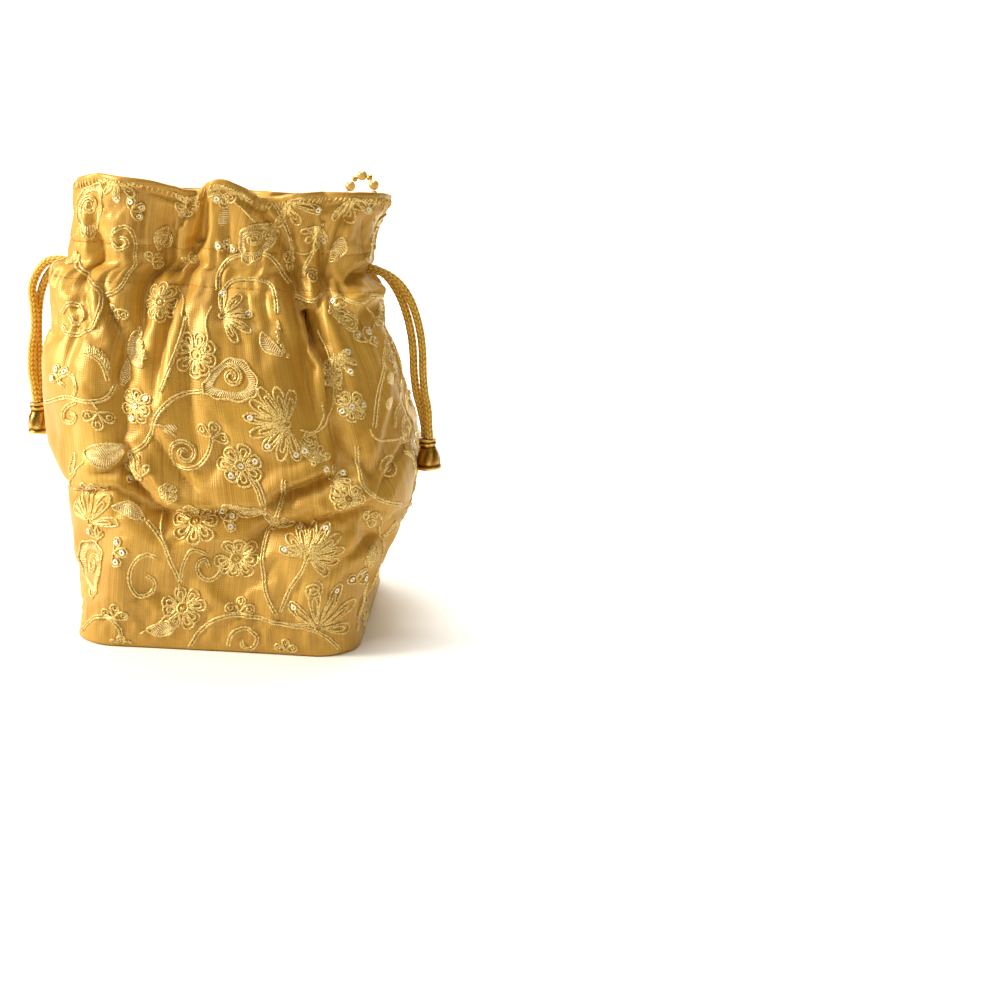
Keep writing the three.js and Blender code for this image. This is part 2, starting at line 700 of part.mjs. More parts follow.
// The opening that a pair of strands leaves by: a slot through the wall, with half round ends.
function openingCutter(side) {
  const height = CORD_DIAMETER + 2 * EYELET_SLACK;
  const reach = STRAND_SPREAD + EYELET_SLACK;
  const shape = new THREE.Shape();
  shape.absarc(reach - EYELET_SLACK, 0, height / 2, -Math.PI / 2, Math.PI / 2, false);
  shape.absarc(-(reach - EYELET_SLACK), 0, height / 2, Math.PI / 2, (3 * Math.PI) / 2, false);
  const depth = 4 * FOLD_DEPTH; // long enough to pass through the wall wherever a fold puts it
  const geometry = new THREE.ExtrudeGeometry(shape, { depth, bevelEnabled: false, curveSegments: 3 });
  geometry.translate(0, 0, -depth / 2);
  geometry.rotateX(Math.PI / 2);
  geometry.rotateZ(Math.PI / 2);
  const section = sectionAt(NECK);
  geometry.translate(side * section.a + section.lean, 0, cordLevel(side));
  return geometry;
}

function bagShell() {
  let shell = solidOf(clothTube());
  for (const side of [-1, 1]) shell = shell.subtract(solidOf(openingCutter(side)));
  return geometryOf(shell);
}

const CLOTH = new THREE.MeshStandardMaterial({ color: 0xd9a84e, roughness: 0.45, metalness: 0.1 });
const LINING = new THREE.MeshStandardMaterial({ color: 0xd8cfae, roughness: 0.7, metalness: 0 });
const BASE = new THREE.MeshStandardMaterial({ color: 0xc6983f, roughness: 0.5, metalness: 0.1 });
const CORD = new THREE.MeshStandardMaterial({ color: 0xc08a1e, roughness: 0.5, metalness: 0 });
const BELL = new THREE.MeshStandardMaterial({ color: 0x8f6d2c, roughness: 0.35, metalness: 1 });
const BEAD = new THREE.MeshStandardMaterial({ color: 0xe9d9a0, roughness: 0.25, metalness: 0.3 });

const group = new THREE.Group();

function add(name, shape, material) {
  const mesh = shape.isMesh ? shape : new THREE.Mesh(shape);
  mesh.name = name;
  mesh.material = material;
  group.add(mesh);
}

add("bag_shell", bagShell(), CLOTH);
add("lining", liningCup(), LINING);
add("base_panel", basePanel(), BASE);
for (const [sideName, side] of [["left", -1], ["right", 1]]) {
  const { run, front, back } = cordPieces(side);
  add(`cord_${sideName}_run`, run, CORD);
  add(`cord_${sideName}_front`, front, CORD);
  add(`cord_${sideName}_back`, back, CORD);
  add(`bell_${sideName}`, bell(side), BELL);
}
add("bead_handle", beadString(), BEAD);

export default group;
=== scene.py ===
# A gold silk drawstring purse with corded embroidery, standing on a pale floor.
import math
from collections import namedtuple

import bmesh
import bpy
import numpy as np
from mathutils import Matrix, Vector


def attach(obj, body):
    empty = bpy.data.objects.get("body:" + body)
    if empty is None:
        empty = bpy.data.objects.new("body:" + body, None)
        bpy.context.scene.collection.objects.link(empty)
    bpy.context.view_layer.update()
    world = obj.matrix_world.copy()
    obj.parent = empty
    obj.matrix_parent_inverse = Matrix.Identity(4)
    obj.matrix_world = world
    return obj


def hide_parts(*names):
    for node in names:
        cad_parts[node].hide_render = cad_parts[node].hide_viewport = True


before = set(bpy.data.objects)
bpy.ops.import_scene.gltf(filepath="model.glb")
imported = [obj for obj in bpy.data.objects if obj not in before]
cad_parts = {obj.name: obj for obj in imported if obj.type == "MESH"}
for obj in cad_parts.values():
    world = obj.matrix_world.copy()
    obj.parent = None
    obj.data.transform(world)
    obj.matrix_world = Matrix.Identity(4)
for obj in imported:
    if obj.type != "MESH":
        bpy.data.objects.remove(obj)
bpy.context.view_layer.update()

# Sizes are in millimetres until a mesh is made.
MM = 0.001
CLOTH_HEIGHT = 222.0
BASE_SIDE = 140.0
BASE_CORNER = 22.0
BELLY_WIDTH = 178.0
SHOULDER_WIDTH = 167.0
NECK_WIDTH = 150.0
NECK_DEPTH = 66.0
MOUTH_WIDTH = 153.0
MOUTH_DEPTH = 76.0
LEAN = 11.0
FOLD_DEPTH = 11.0
FOLD_REACH = 16.0
FOLD_WIDENING = 0.7
CLOTH_WALL = 1.3
LINING_WALL = 0.8
LINING_SLACK = 5.0
LINING_DROP = 8.0
SLACK_RISE = 0.1
CLEARANCE = 0.3
BASE_THICKNESS = 3.0
CORD_DIAMETER = 4.4
CORD_BEND = 8.0
CORD_ROOM = 0.6
BELL_LENGTH = 16.0
BELL_MOUTH = 13.0
BELL_COLLAR = 9.4
BEAD_DIAMETER = 5.4
SPACER_DIAMETER = 3.4
BEAD_PITCH = 8.6
FOOT = CLEARANCE

# Levels as shares of the cloth's height
RIM, NECK, SHOULDER, BELLY = 1.0, 0.8, 0.68, 0.45
CHANNEL_HALF = 0.04
CHANNEL_STITCHES = (0.773, 0.852)

# The flat cloth: its girth with the gathers let out, and its height with the hems
FLAT_CLOTH = (0.60, 0.24)
FLAT_LINING = (0.54, 0.24)

Section = namedtuple("Section", "rise width depth round lean")
SECTIONS = [
    Section(0.0, BASE_SIDE, BASE_SIDE, BASE_CORNER / (BASE_SIDE / 2), -0.05),
    Section(0.06, 0.975 * BASE_SIDE, BASE_SIDE, 0.36, -0.05),
    Section(0.15, 1.045 * BASE_SIDE, 0.99 * BASE_SIDE, 0.46, 0.1),
    Section(0.27, 0.91 * BELLY_WIDTH, 0.97 * BASE_SIDE, 0.6, 0.35),
    Section(0.42, BELLY_WIDTH, 0.93 * BASE_SIDE, 0.74, -0.05),
    Section(0.58, 0.985 * BELLY_WIDTH, 0.83 * BASE_SIDE, 0.84, -0.65),
    Section(0.69, SHOULDER_WIDTH, 0.69 * BASE_SIDE, 0.92, -0.9),
    Section(0.765, 0.985 * SHOULDER_WIDTH, 1.18 * NECK_DEPTH, 0.96, -1.1),
    Section(0.792, 1.06 * NECK_WIDTH, 1.05 * NECK_DEPTH, 0.97, -1.05),
    Section(0.815, NECK_WIDTH, NECK_DEPTH, 0.97, -0.85),
    Section(0.9, 1.01 * NECK_WIDTH, 1.04 * NECK_DEPTH, 0.97, -0.65),
    Section(1.0, MOUTH_WIDTH, MOUTH_DEPTH, 0.97, -0.2),
]

# Folds that run up and down. Places are shares of the way round from the left seam over the
# front at the rim, neck and belly, depths are shares of FOLD_DEPTH at the rim, neck, shoulder
# and belly, and reaches are shares of FOLD_REACH to each side, at the rim and in the body.
Fold = namedtuple("Fold", "name at depth left right ends")
FOLDS = [
    Fold("left seam", (0, 0, 0), (0.25, 0.55, 0.5, 0), (1, 1), (1, 1), 0.4),
    Fold("left lobe", (0.088, 0.104, 0.112), (0.2, 0.6, 0.4, 0.25), (1.2, 0.8), (1, 0.8), 0.36),
    Fold("front left", (0.216, 0.19, 0.172), (0.8, 0.95, 0.85, 0.55), (2.1, 1.1), (0.45, 0.9), 0.28),
    Fold("lobe left", (0.228, 0.232, 0.238), (0.2, 0.75, 0.5, 0.2), (0.5, 0.9), (0.4, 0.45), 0.33),
    Fold("lobe right", (0.286, 0.352, 0.345), (0.75, 0.95, 1.2, 0.55), (0.8, 0.8), (1.9, 1.3), 0.3),
    Fold("front right", (0.372, 0.398, 0.41), (0.55, 0.85, 0.3, 0), (1.3, 0.8), (1.2, 0.9), 0.4),
    Fold("right seam", (0.5, 0.5, 0.5), (0.3, 0.6, 0.5, 0), (1, 1), (1, 1), 0.4),
    Fold("back 1", (0.572, 0.58, 0.57), (0.5, 0.8, 0.6, 0.35), (1, 1), (1.1, 1.1), 0.4),
    Fold("back 2", (0.65, 0.646, 0.655), (0.7, 0.9, 0.8, 0.4), (0.9, 0.9), (1.3, 1.3), 0.34),
    Fold("back 3", (0.722, 0.716, 0.73), (0.6, 0.8, 0.6, 0.3), (1.2, 1), (0.9, 0.9), 0.4),
    Fold("back 4", (0.796, 0.79, 0.802), (0.75, 0.95, 0.85, 0.45), (1.2, 1.2), (0.9, 1), 0.32),
    Fold("back 5", (0.866, 0.862, 0.872), (0.55, 0.8, 0.55, 0.3), (1, 1), (1, 1.1), 0.4),
    Fold("back 6", (0.934, 0.932, 0.94), (0.5, 0.75, 0.5, 0.2), (0.9, 0.9), (1.1, 1.1), 0.4),
]

# Slanting tucks from one (way round, rise) to another
Tuck = namedtuple("Tuck", "name start end depth half")
TUCKS = [
    Tuck("left flap", (0.15, 0.43), (0.212, 0.27), 0.4, 0.9),
    Tuck("middle", (0.27, 0.25), (0.345, 0.34), 0.4, 0.9),
    Tuck("right", (0.37, 0.28), (0.45, 0.22), 0.35, 0.9),
    Tuck("left", (0.04, 0.36), (0.11, 0.3), 0.3, 0.8),
    Tuck("right puff", (0.355, 0.5), (0.4, 0.38), 0.35, 0.9),
    Tuck("back left", (0.86, 0.3), (0.78, 0.22), 0.4, 0.9),
    Tuck("back right", (0.6, 0.36), (0.69, 0.25), 0.4, 0.9),
]

# How far the rim drops, as shares of FOLD_DEPTH, at shares of the way round
RIM_DROP_AT = (0, 0.05, 0.1, 0.16, 0.216, 0.23, 0.25, 0.275, 0.295, 0.35, 0.42, 0.5, 0.6, 0.75, 0.88, 1)
RIM_DROP = (0.55, 0.3, 0.05, 0.2, 0.6, 0.2, 0, 0.3, 0.75, 0.4, 0.3, 0.45, 0.8, 0.75, 0.8, 0.55)

# The cords' routes as (x, z, turn) and the bead handle's as (x, y, height above the rim). turn
# is how many degrees a pair has turned from front and back towards outer and inner.
LEFT_STRAND = (
    (-82, 175.4, 0), (-89, 176.6, 20), (-95.5, 174.6, 50), (-100, 169.5, 65), (-103.1, 162, 50),
    (-103.7, 153, 10), (-104, 143, 0), (-105, 132, 20), (-105.4, 121, 25), (-104.8, 112, 10),
    (-104.4, 104.5, 0),
)
RIGHT_STRAND = (
    (60, 180.4, 0), (66, 180.4, 0), (72, 178.2, 15), (77.6, 173.4, 40), (82.2, 166.6, 60),
    (85.8, 157.7, 70), (88.2, 148.5, 75), (89.4, 140, 75), (90.2, 128.5, 70), (91.6, 119, 60),
    (93.8, 110.5, 50), (95.2, 102, 30), (95.8, 96, 30),
)
HANDLE_ROUTE = (
    (58.5, 3, -20.8), (61.5, 4.5, -12.3), (64.8, 6, -4.3), (62, 8, 2.3), (56, 9.5, 2.7),
    (51, 9.5, -4.8), (48, 8.5, -16.3), (44.5, 7, -28.3), (40.5, 5, -41.3), (34, 4, -57.3),
    (23, 2, -75.3), (9, 1, -87.3), (-9, 0, -91.8), (-27, 0, -87.3), (-41, 1, -75.3),
    (-51, 2, -58.3), (-57.5, 3, -41.3), (-63, 3.5, -27.3), (-69, 3.5, -17.8),
)
# A strand's bend from the channel into its opening, as shares of CORD_BEND outwards and sideways
CORD_TURN = ((0.55, 0.42), (0, 0.85))
CORD_JOINS = 0.075  # the share of the way round, from the seam, where a strand's hidden run starts
CORD_RING_POINTS = 20
STRAND_INSIDE = 1.1  # how much of a strand lies within the cloth, as a share of CORD_BEND


def smooth(t):
    t = np.clip(t, 0, 1)
    return t * t * (3 - 2 * t)


def mix(a, b, t):
    return a + (b - a) * t


def curve(x, xs, ys):
    """A cubic through the points (xs, ys) that never overshoots them."""
    xs = np.asarray(xs, float)
    ys = np.asarray(ys, float)
    step = np.diff(xs)
    rate = np.diff(ys) / step
    slope = np.zeros_like(ys)
    before, after = rate[:-1], rate[1:]
    same = before * after > 0
    slope[1:-1][same] = 2 * (before * after)[same] / (before + after)[same]
    slope[0], slope[-1] = rate[0], rate[-1]
    x = np.clip(x, xs[0], xs[-1])
    i = np.clip(np.searchsorted(xs, x, side="right") - 1, 0, len(xs) - 2)
    t = (x - xs[i]) / step[i]
    return (
        (2 * t**3 - 3 * t**2 + 1) * ys[i]
        + (t**3 - 2 * t**2 + t) * step[i] * slope[i]
        + (3 * t**2 - 2 * t**3) * ys[i + 1]
        + (t**3 - t**2) * step[i] * slope[i + 1]
    )


def section_at(rise):
    """Half width, half depth, corner radius and lean of the cloth at a rise."""
    rises = [row.rise for row in SECTIONS]
    half_width = curve(rise, rises, [row.width for row in SECTIONS]) / 2
    half_depth = curve(rise, rises, [row.depth for row in SECTIONS]) / 2
    round_share = curve(rise, rises, [row.round for row in SECTIONS])
    lean = curve(rise, rises, [row.lean for row in SECTIONS]) * LEAN
    return half_width, half_depth, round_share * np.minimum(half_width, half_depth), lean


def on_oval(a, b, r, around):
    """Points and outward directions on a rounded rectangle, at shares of the way round it."""
    u = around % 1.0
    quarter = np.floor(u * 4)
    t = u * 4 - quarter
    t = np.where(quarter % 2 == 1, 1 - t, t)
    side_x = np.where((quarter == 0) | (quarter == 3), -1.0, 1.0)
    side_y = np.where(quarter < 2, -1.0, 1.0)
    arc = r * np.pi / 2
    s = t * (b - r + arc + a - r)
    turn = np.clip((s - (b - r)) / r, 0, np.pi / 2)
    flat = np.clip(s - (b - r) - arc, 0, None)
    x = a - r + r * np.cos(turn) - flat
    y = np.where(s < b - r, s, b - r + r * np.sin(turn))
    return side_x * x, side_y * y, side_x * np.cos(turn), side_y * np.sin(turn)


def girth_of(a, b, r):
    return 4 * (a + b) - 8 * r + 2 * np.pi * r


def way_from(place, around):
    return (around - place + 0.5) % 1.0 - 0.5


def valley(distance, reach):
    return np.clip(1 - np.abs(distance) / reach, 0, 1) ** 2


def fold_at(around, rise):
    """How far all folds and tucks together pull the cloth in."""
    a, b, r, _ = section_at(rise)
    girth = girth_of(a, b, r)
    opening = smooth((rise - NECK) / (RIM - NECK))
    widening = 1 + FOLD_WIDENING * smooth((NECK - rise) / (NECK - BELLY))
    pull = 0
    for fold in FOLDS:
        rim, neck, belly = fold.at
        place = curve(rise, [0, BELLY, NECK, RIM], [belly, belly, neck, rim])
        rises = [fold.ends, BELLY, SHOULDER, NECK, RIM]
        depth = curve(rise, rises, [0, *reversed(fold.depth)])
        depth = np.where(rise < fold.ends, 0, depth)
        distance = way_from(place, around) * girth
        reach = np.where(
            distance < 0,
            mix(fold.left[1], fold.left[0], opening),
            mix(fold.right[1], fold.right[0], opening),
        )
        pull = pull + depth * valley(distance, FOLD_REACH * reach * widening)
    for tuck in TUCKS:
        across = way_from(tuck.start[0], around) * girth
        up = (rise - tuck.start[1]) * CLOTH_HEIGHT
        run_across = (tuck.end[0] - tuck.start[0]) * girth
        run_up = (tuck.end[1] - tuck.start[1]) * CLOTH_HEIGHT
        t = np.clip((across * run_across + up * run_up) / (run_across**2 + run_up**2), 0, 1)
        distance = np.hypot(across - t * run_across, up - t * run_up)
        fade = smooth(1 - np.abs(2 * t - 1) ** 3)
        pull = pull + tuck.depth * valley(distance, FOLD_REACH * tuck.half) * fade
    return pull * FOLD_DEPTH


def level_of(rise):
    return FOOT + rise * CLOTH_HEIGHT


def cloth_point(around, rise, inset=0.0):
    """Points on the outer face of the cloth, moved inwards by an inset."""
    a, b, r, lean = section_at(rise)
    x, y, out_x, out_y = on_oval(a, b, r, around)
    inwards = fold_at(around, rise) + inset
    drop = FOLD_DEPTH * curve(around % 1.0, RIM_DROP_AT, RIM_DROP)
    z = level_of(rise) - drop * smooth((rise - NECK) / (RIM - NECK))
    return np.stack([x - out_x * inwards + lean, y - out_y * inwards, z], -1)


def slant(around, rise):
    """How much a wall's inset grows on the side of a fold."""
    step = 0.004
    a, b, r, _ = section_at(rise)
    change = fold_at(around + step, rise) - fold_at(around - step, rise)
    return np.minimum(1.8, np.hypot(1, change / (2 * step * girth_of(a, b, r))))


# The cloth's fine relief, on top of the folds that the solid has too

def near(value, middle, half):
    return smooth(1 - np.abs(value - middle) / half)


def puckers_at(around, rise):
    """Small gathers that the drawcord and its two stitch lines hold, in millimetres inwards."""
    turn = 2 * np.pi * around
    fine = np.sin(61 * turn + 2.2 * np.sin(7 * turn)) + 0.6 * np.sin(97 * turn + 1.7 * np.sin(11 * turn))
    broad = np.sin(29 * turn + 1.5 * np.sin(5 * turn)) + 0.7 * np.sin(43 * turn + 2.4 * np.sin(3 * turn))
    held = sum(near(rise, line, 0.05) for line in CHANNEL_STITCHES)
    groove = sum(near(rise, line, 0.009) for line in CHANNEL_STITCHES)
    skirt = near(rise, 0.7, 0.13)
    return 0.32 * held * fine + 0.4 * (0.5 * held + skirt) * broad + 0.55 * groove


def hem_at(rise):
    """The turned and sewn edge at the rim stands a little proud of the cloth."""
    return 0.45 * smooth((rise - 0.978) / 0.006) - 0.35 * near(rise, 0.974, 0.005)


def sheet_mesh(across, up, place, flat, closed=True, relief=None):
    """A sheet of cells whose points place(around, rise) gives, in millimetres. Its UV map holds
    the place on the flat cloth, in metres, and "relief" how high each point stands, 0 to 1."""
    bm = bmesh.new()
    uv_layer = bm.loops.layers.uv.new("UVMap")
    around_layer = bm.verts.layers.float.new("around")
    rise_layer = bm.verts.layers.float.new("rise")
    relief_layer = bm.verts.layers.float.new("relief")
    bmesh.ops.create_grid(bm, x_segments=across, y_segments=up, size=0.5, calc_uvs=True)
    verts = list(bm.verts)
    shares = np.array([vert.co[:2] for vert in verts]) + 0.5
    points = place(shares[:, 0], shares[:, 1]) * MM
    heights = relief(shares[:, 0], shares[:, 1]) if relief else np.zeros(len(verts))
    for vert, point, share, height in zip(verts, points.tolist(), shares.tolist(), heights.tolist()):
        vert.co = point
        vert[around_layer], vert[rise_layer] = share
        vert[relief_layer] = height
    for face in bm.faces:
        face.smooth = True
        for loop in face.loops:
            uv = loop[uv_layer].uv
            uv.x *= flat[0]
            uv.y *= flat[1]
    if closed:
        edge = 0.5 / across
        seam = [vert for vert, share in zip(verts, shares) if share[0] < edge or share[0] > 1 - edge]
        bmesh.ops.remove_doubles(bm, verts=seam, dist=1e-7)
    return bm


def piece_from(bm, name, *materials):
    mesh = bpy.data.meshes.new(name)
    bm.to_mesh(mesh)
    bm.free()
    piece = bpy.data.objects.new(name, mesh)
    bpy.context.scene.collection.objects.link(piece)
    for material in materials:
        mesh.materials.append(material)
    return piece


def centripetal(points, steps=16):
    """A Catmull-Rom line through the points, as a dense list of points."""
    points = np.asarray(points, float)
    before = 2 * points[0] - points[1]
    after = 2 * points[-1] - points[-2]
    knots = np.vstack([before, points, after])
    line = []
    for p0, p1, p2, p3 in zip(knots, knots[1:], knots[2:], knots[3:]):
        t0 = 0.0
        t1 = t0 + math.sqrt(np.linalg.norm(p1 - p0))
        t2 = t1 + math.sqrt(np.linalg.norm(p2 - p1))
        t3 = t2 + math.sqrt(np.linalg.norm(p3 - p2))
        t = np.linspace(t1, t2, steps, endpoint=False)[:, None]
        a1 = (t1 - t) / (t1 - t0) * p0 + (t - t0) / (t1 - t0) * p1
        a2 = (t2 - t) / (t2 - t1) * p1 + (t - t1) / (t2 - t1) * p2
        a3 = (t3 - t) / (t3 - t2) * p2 + (t - t2) / (t3 - t2) * p3
        b1 = (t2 - t) / (t2 - t0) * a1 + (t - t0) / (t2 - t0) * a2
        b2 = (t3 - t) / (t3 - t1) * a2 + (t - t1) / (t3 - t1) * a3
        line.append((t2 - t) / (t2 - t1) * b1 + (t - t1) / (t2 - t1) * b2)
    return np.vstack([*line, points[-1:]])


def lengths_along(line):
    return np.concatenate([[0.0], np.cumsum(np.linalg.norm(np.diff(line, axis=0), axis=1))])


def evenly(line, count):
    """The line again with count points at even distances."""
    along = lengths_along(line)
    wanted = np.linspace(0, along[-1], count)
    return np.stack([np.interp(wanted, along, line[:, k]) for k in range(line.shape[1])], -1)


def frames_along(line):
    """Directions along a line and two directions across it that turn as little as they can."""
    forward = np.gradient(line, axis=0)
    forward /= np.linalg.norm(forward, axis=1)[:, None]
    across = np.zeros_like(line)
    start = np.cross(forward[0], (0.0, 1.0, 0.02))
    across[0] = start / np.linalg.norm(start)
    for i in range(1, len(line)):
        moved = across[i - 1] - forward[i] * np.dot(across[i - 1], forward[i])
        across[i] = moved / np.linalg.norm(moved)
    return forward, across, np.cross(forward, across)


def tube_mesh(line, around, radius, relief_height, relief):
    """A closed tube along a line. relief(turn, length along), 0 to 1, lowers its surface."""
    rings = len(line) - 1
    along = lengths_along(line)
    _, side, up = frames_along(line)
    flat = (2 * math.pi * radius * MM, along[-1] * MM)

    def height(u, v):
        return relief(2 * np.pi * u, along[np.rint(v * rings).astype(int)])

    def place(u, v):
        ring = np.rint(v * rings).astype(int)
        turn = 2 * np.pi * u
        out = (radius - relief_height * (1 - height(u, v)))[:, None]
        return line[ring] + out * (side[ring] * np.cos(turn)[:, None] + up[ring] * np.sin(turn)[:, None])

    bm = sheet_mesh(around, rings, place, flat, relief=height)
    bmesh.ops.holes_fill(bm, edges=[edge for edge in bm.edges if edge.is_boundary], sides=0)
    bmesh.ops.recalc_face_normals(bm, faces=bm.faces)
    return bm


# Materials

WEAVE_SHOWN = 0.0012  # the threads lie 0.3 mm apart; this is the finest weave that shows


def linear(hex_colour):
    """The linear colour of an sRGB hex value."""
    shares = [int(hex_colour[i:i + 2], 16) / 255 for i in (1, 3, 5)]
    return (*[c / 12.92 if c <= 0.04045 else ((c + 0.055) / 1.055) ** 2.4 for c in shares], 1.0)


def add(tree, kind, inputs=None, stops=(), **settings):
    """Adds a node with its settings. An input is a value, or another node's output to link, and
    stops are a colour ramp's places with their hex colours, in rising order."""
    made = tree.nodes.new("ShaderNode" + kind)
    for name, value in settings.items():
        setattr(made, name, value)
    for name, value in (inputs or {}).items():
        if isinstance(value, bpy.types.NodeSocket):
            tree.links.new(value, made.inputs[name])
        else:
            made.inputs[name].default_value = value
    for index, (place, colour) in enumerate(stops):
        elements = made.color_ramp.elements
        element = elements[index] if index < len(elements) else elements.new(place)
        element.position = place
        element.color = linear(colour)
    return made


def new_material(name, **surface):
    """A material with its Principled shader; values that are the same all over sit on it."""
    material = bpy.data.materials.new(name)
    material.use_nodes = True
    tree = material.node_tree
    shader = tree.nodes["Principled BSDF"]
    for socket, value in surface.items():
        shader.inputs[socket.replace("_", " ")].default_value = value
    return material, tree, shader


def stretched(tree, source, scale, **noise):
    """A noise over stretched coordinates: scale is features per metre along each axis."""
    placed = add(tree, "Mapping", {"Vector": source, "Scale": scale})
    inputs = {"Vector": placed.outputs["Vector"], "Scale": 1.0, **noise}
    return add(tree, "TexNoise", inputs).outputs["Fac"]


def silk_dupion(name, light, mid, deep, roughness):
    """Silk dupion, woven and pressed: a soft gloss on a plain weave, thick slubs that run along
    one thread, and a colour that shifts where the two threads' shades show unevenly."""
    material, tree, shader = new_material(
        name, Roughness=roughness, Metallic=0.2, Sheen_Weight=0.3, Sheen_Roughness=0.3,
        Sheen_Tint=linear("#fff6d0"), Specular_IOR_Level=0.8, Specular_Tint=linear("#fff8dc"),
    )
    flat = add(tree, "UVMap", uv_map="UVMap").outputs["UV"]
    slubs = stretched(tree, flat, (1500, 16, 1), Detail=2.0, Roughness=0.6)
    fine_slubs = stretched(tree, flat, (60, 1400, 1), Detail=1.0, Roughness=0.5)
    cloudy = stretched(tree, flat, (26, 15, 1), Detail=3.0, Roughness=0.55)
    shades = [(0.1, deep), (0.5, mid), (1.0, light)]
    colour = add(tree, "ValToRGB", {"Fac": slubs}, shades).outputs["Color"]
    clouds = add(tree, "ValToRGB", {"Fac": cloudy}, [(0.3, "#a8864e"), (0.65, "#ffffff")])
    streaks = add(tree, "ValToRGB", {"Fac": fine_slubs}, [(0.35, "#b9a078"), (0.6, "#ffffff")])
    for shade, strength in ((clouds, 0.4), (streaks, 0.07)):
        colour = add(
            tree, "Mix", {0: strength, 6: colour, 7: shade.outputs["Color"]},
            data_type="RGBA", blend_type="MULTIPLY").outputs[2]
    tree.links.new(colour, shader.inputs["Base Color"])
    weave = []
    for direction in ("X", "Y"):
        bands = add(
            tree, "TexWave", {"Vector": flat, "Scale": math.pi / 10 / WEAVE_SHOWN, "Distortion": 0.6,
                              "Detail": 1.0}, bands_direction=direction)
        weave.append(bands.outputs["Fac"])
    threads = add(tree, "Math", {0: weave[0], 1: weave[1]}, operation="ADD").outputs[0]
    relief = add(tree, "Math", {0: slubs, 1: 3.0, 2: threads}, operation="MULTIPLY_ADD").outputs[0]
    bump = add(tree, "Bump", {"Height": relief, "Strength": 0.18, "Distance": 0.00025})
    tree.links.new(bump.outputs["Normal"], shader.inputs["Normal"])
    return material


def corded_thread(name, crest, groove, metallic, roughness):
    """Wound metallic thread: a painted highlight on each turn and painted shade where the turns meet, from
    the crest and groove colours over one noise that also bumps it.
    """
    material, tree, shader = new_material(name, Metallic=metallic, Roughness=roughness)
    place = add(tree, "TexCoord").outputs["Object"]
    turns = stretched(tree, place, (1500, 1500, 1500), Detail=1.0)
    # Painted highlight where the noise is high, painted shade where it is low
    colour = add(tree, "ValToRGB", {"Fac": turns}, [(0.36, groove), (0.56, crest)])
    tree.links.new(colour.outputs["Color"], shader.inputs["Base Color"])
    bump = add(tree, "Bump", {"Height": turns, "Strength": 0.3, "Distance": 0.0002})
    tree.links.new(bump.outputs["Normal"], shader.inputs["Normal"])
    return material


def relief_material(name, crest, mid, groove, grain_scale, bump_depth, **surface):
    """A surface coloured from its relief attribute, darker in its hollows than on its crests, with a fine
    grain over it: on the braid a painted shade and a painted highlight, on the brass its patina.
    """
    material, tree, shader = new_material(name, **surface)
    height = add(tree, "Attribute", attribute_name="relief").outputs["Fac"]
    place = add(tree, "TexCoord").outputs["Object"]
    grain = stretched(tree, place, (grain_scale,) * 3, Detail=2.0)
    # Colour by relief: painted shade in the braid's hollows and a painted highlight on its crests; patina on
    # the brass
    colour = add(tree, "ValToRGB", {"Fac": height}, [(0.15, groove), (0.5, mid), (0.85, crest)])
    shade = add(tree, "ValToRGB", {"Fac": grain}, [(0.3, "#b4a68c"), (0.6, "#ffffff")])
    grained = add(
        tree, "Mix", {0: 0.4, 6: colour.outputs["Color"], 7: shade.outputs["Color"]},
        data_type="RGBA", blend_type="MULTIPLY")
    tree.links.new(grained.outputs[2], shader.inputs["Base Color"])
    bump = add(tree, "Bump", {"Height": grain, "Strength": 0.25, "Distance": bump_depth})
    tree.links.new(bump.outputs["Normal"], shader.inputs["Normal"])
    return material


# Pressed silk gives a soft gloss that runs along its folds, and uneven slubs down the cloth
SILK = silk_dupion("gold silk dupion, pressed", "#e2bc5e", "#c99b37", "#9a660c", 0.44)
# The same silk stretched over card, its colours painted a little darker as shade, for it is seen from the
# side
SHADED_BASE_SILK = silk_dupion("plain gold silk dupion, painted darker as shade", "#c99a40", "#b38224", "#8c5b0c", 0.46)
# The lining is paler and nearly matt, with the same weave
LINING_CLOTH = silk_dupion("pale plain-woven lining", "#e6dcc0", "#d8caa4", "#bfae84", 0.6)
# Wound gilt thread: its colour has small painted glints on each turn and painted shade, dark gaps, between
# the turns
ZARI = corded_thread("couched gold zari cord", "#eed486", "#b08735", 0.4, 0.36)
# Stitches laid side by side give a paler, smoother shine than the wound cord round them; their colour also
# has a painted highlight on each stitch and painted shade between
SATIN_THREAD = corded_thread("satin-stitched gold thread", "#fbe9ab", "#d9b463", 0.2, 0.3)
# Cotton-covered sewing thread hardly shines and shows as a darker line, with faint painted shade between its
# turns
SEWING_THREAD = corded_thread("mustard sewing thread", "#c9962f", "#94681a", 0.0, 0.6)
# Braided rayon gives a broad silky gloss on each ply, and its colour has painted shade, brown, in the hollows
# between the plies and a painted highlight on each ply
BRAID = relief_material(
    "braided rayon cord", "#f2c445", "#bd8a1b", "#6a4407", 2600, 0.0002,
    Roughness=0.4, Sheen_Weight=0.15)
# Antiqued brass is bright on its raised pattern and brown where the patina lies
BRASS = relief_material(
    "embossed cap, antiqued brass", "#f0cd78", "#b48537", "#4a3010", 900, 0.00015,
    Metallic=1.0, Roughness=0.3)
# Gilt spacers give small sharp highlights
GILT = relief_material(
    "gilt spacer beads, polished", "#e8c877", "#cda14b", "#8a6426", 1200, 0.0001,
    Metallic=1.0, Roughness=0.2)
# A coated bead gives a soft body colour under a clear highlight
PEARL = relief_material(
    "gold-pearl coated beads", "#ecd08a", "#ecd08a", "#ecd08a", 500, 0.00005,
    Roughness=0.25, Metallic=0.45, Coat_Weight=0.6, Coat_Roughness=0.08)
# Sequins give the palest flashes, nearly white where they face the light
SEQUIN = relief_material(
    "pressed pale gilt sequins", "#fff4cf", "#fbe6ac", "#c9a65a", 1500, 0.00005,
    Metallic=0.35, Roughness=0.22, Coat_Weight=0.5, Coat_Roughness=0.1)


# Camera: the photo's angle, 15 degrees down and turned 3 degrees in the picture

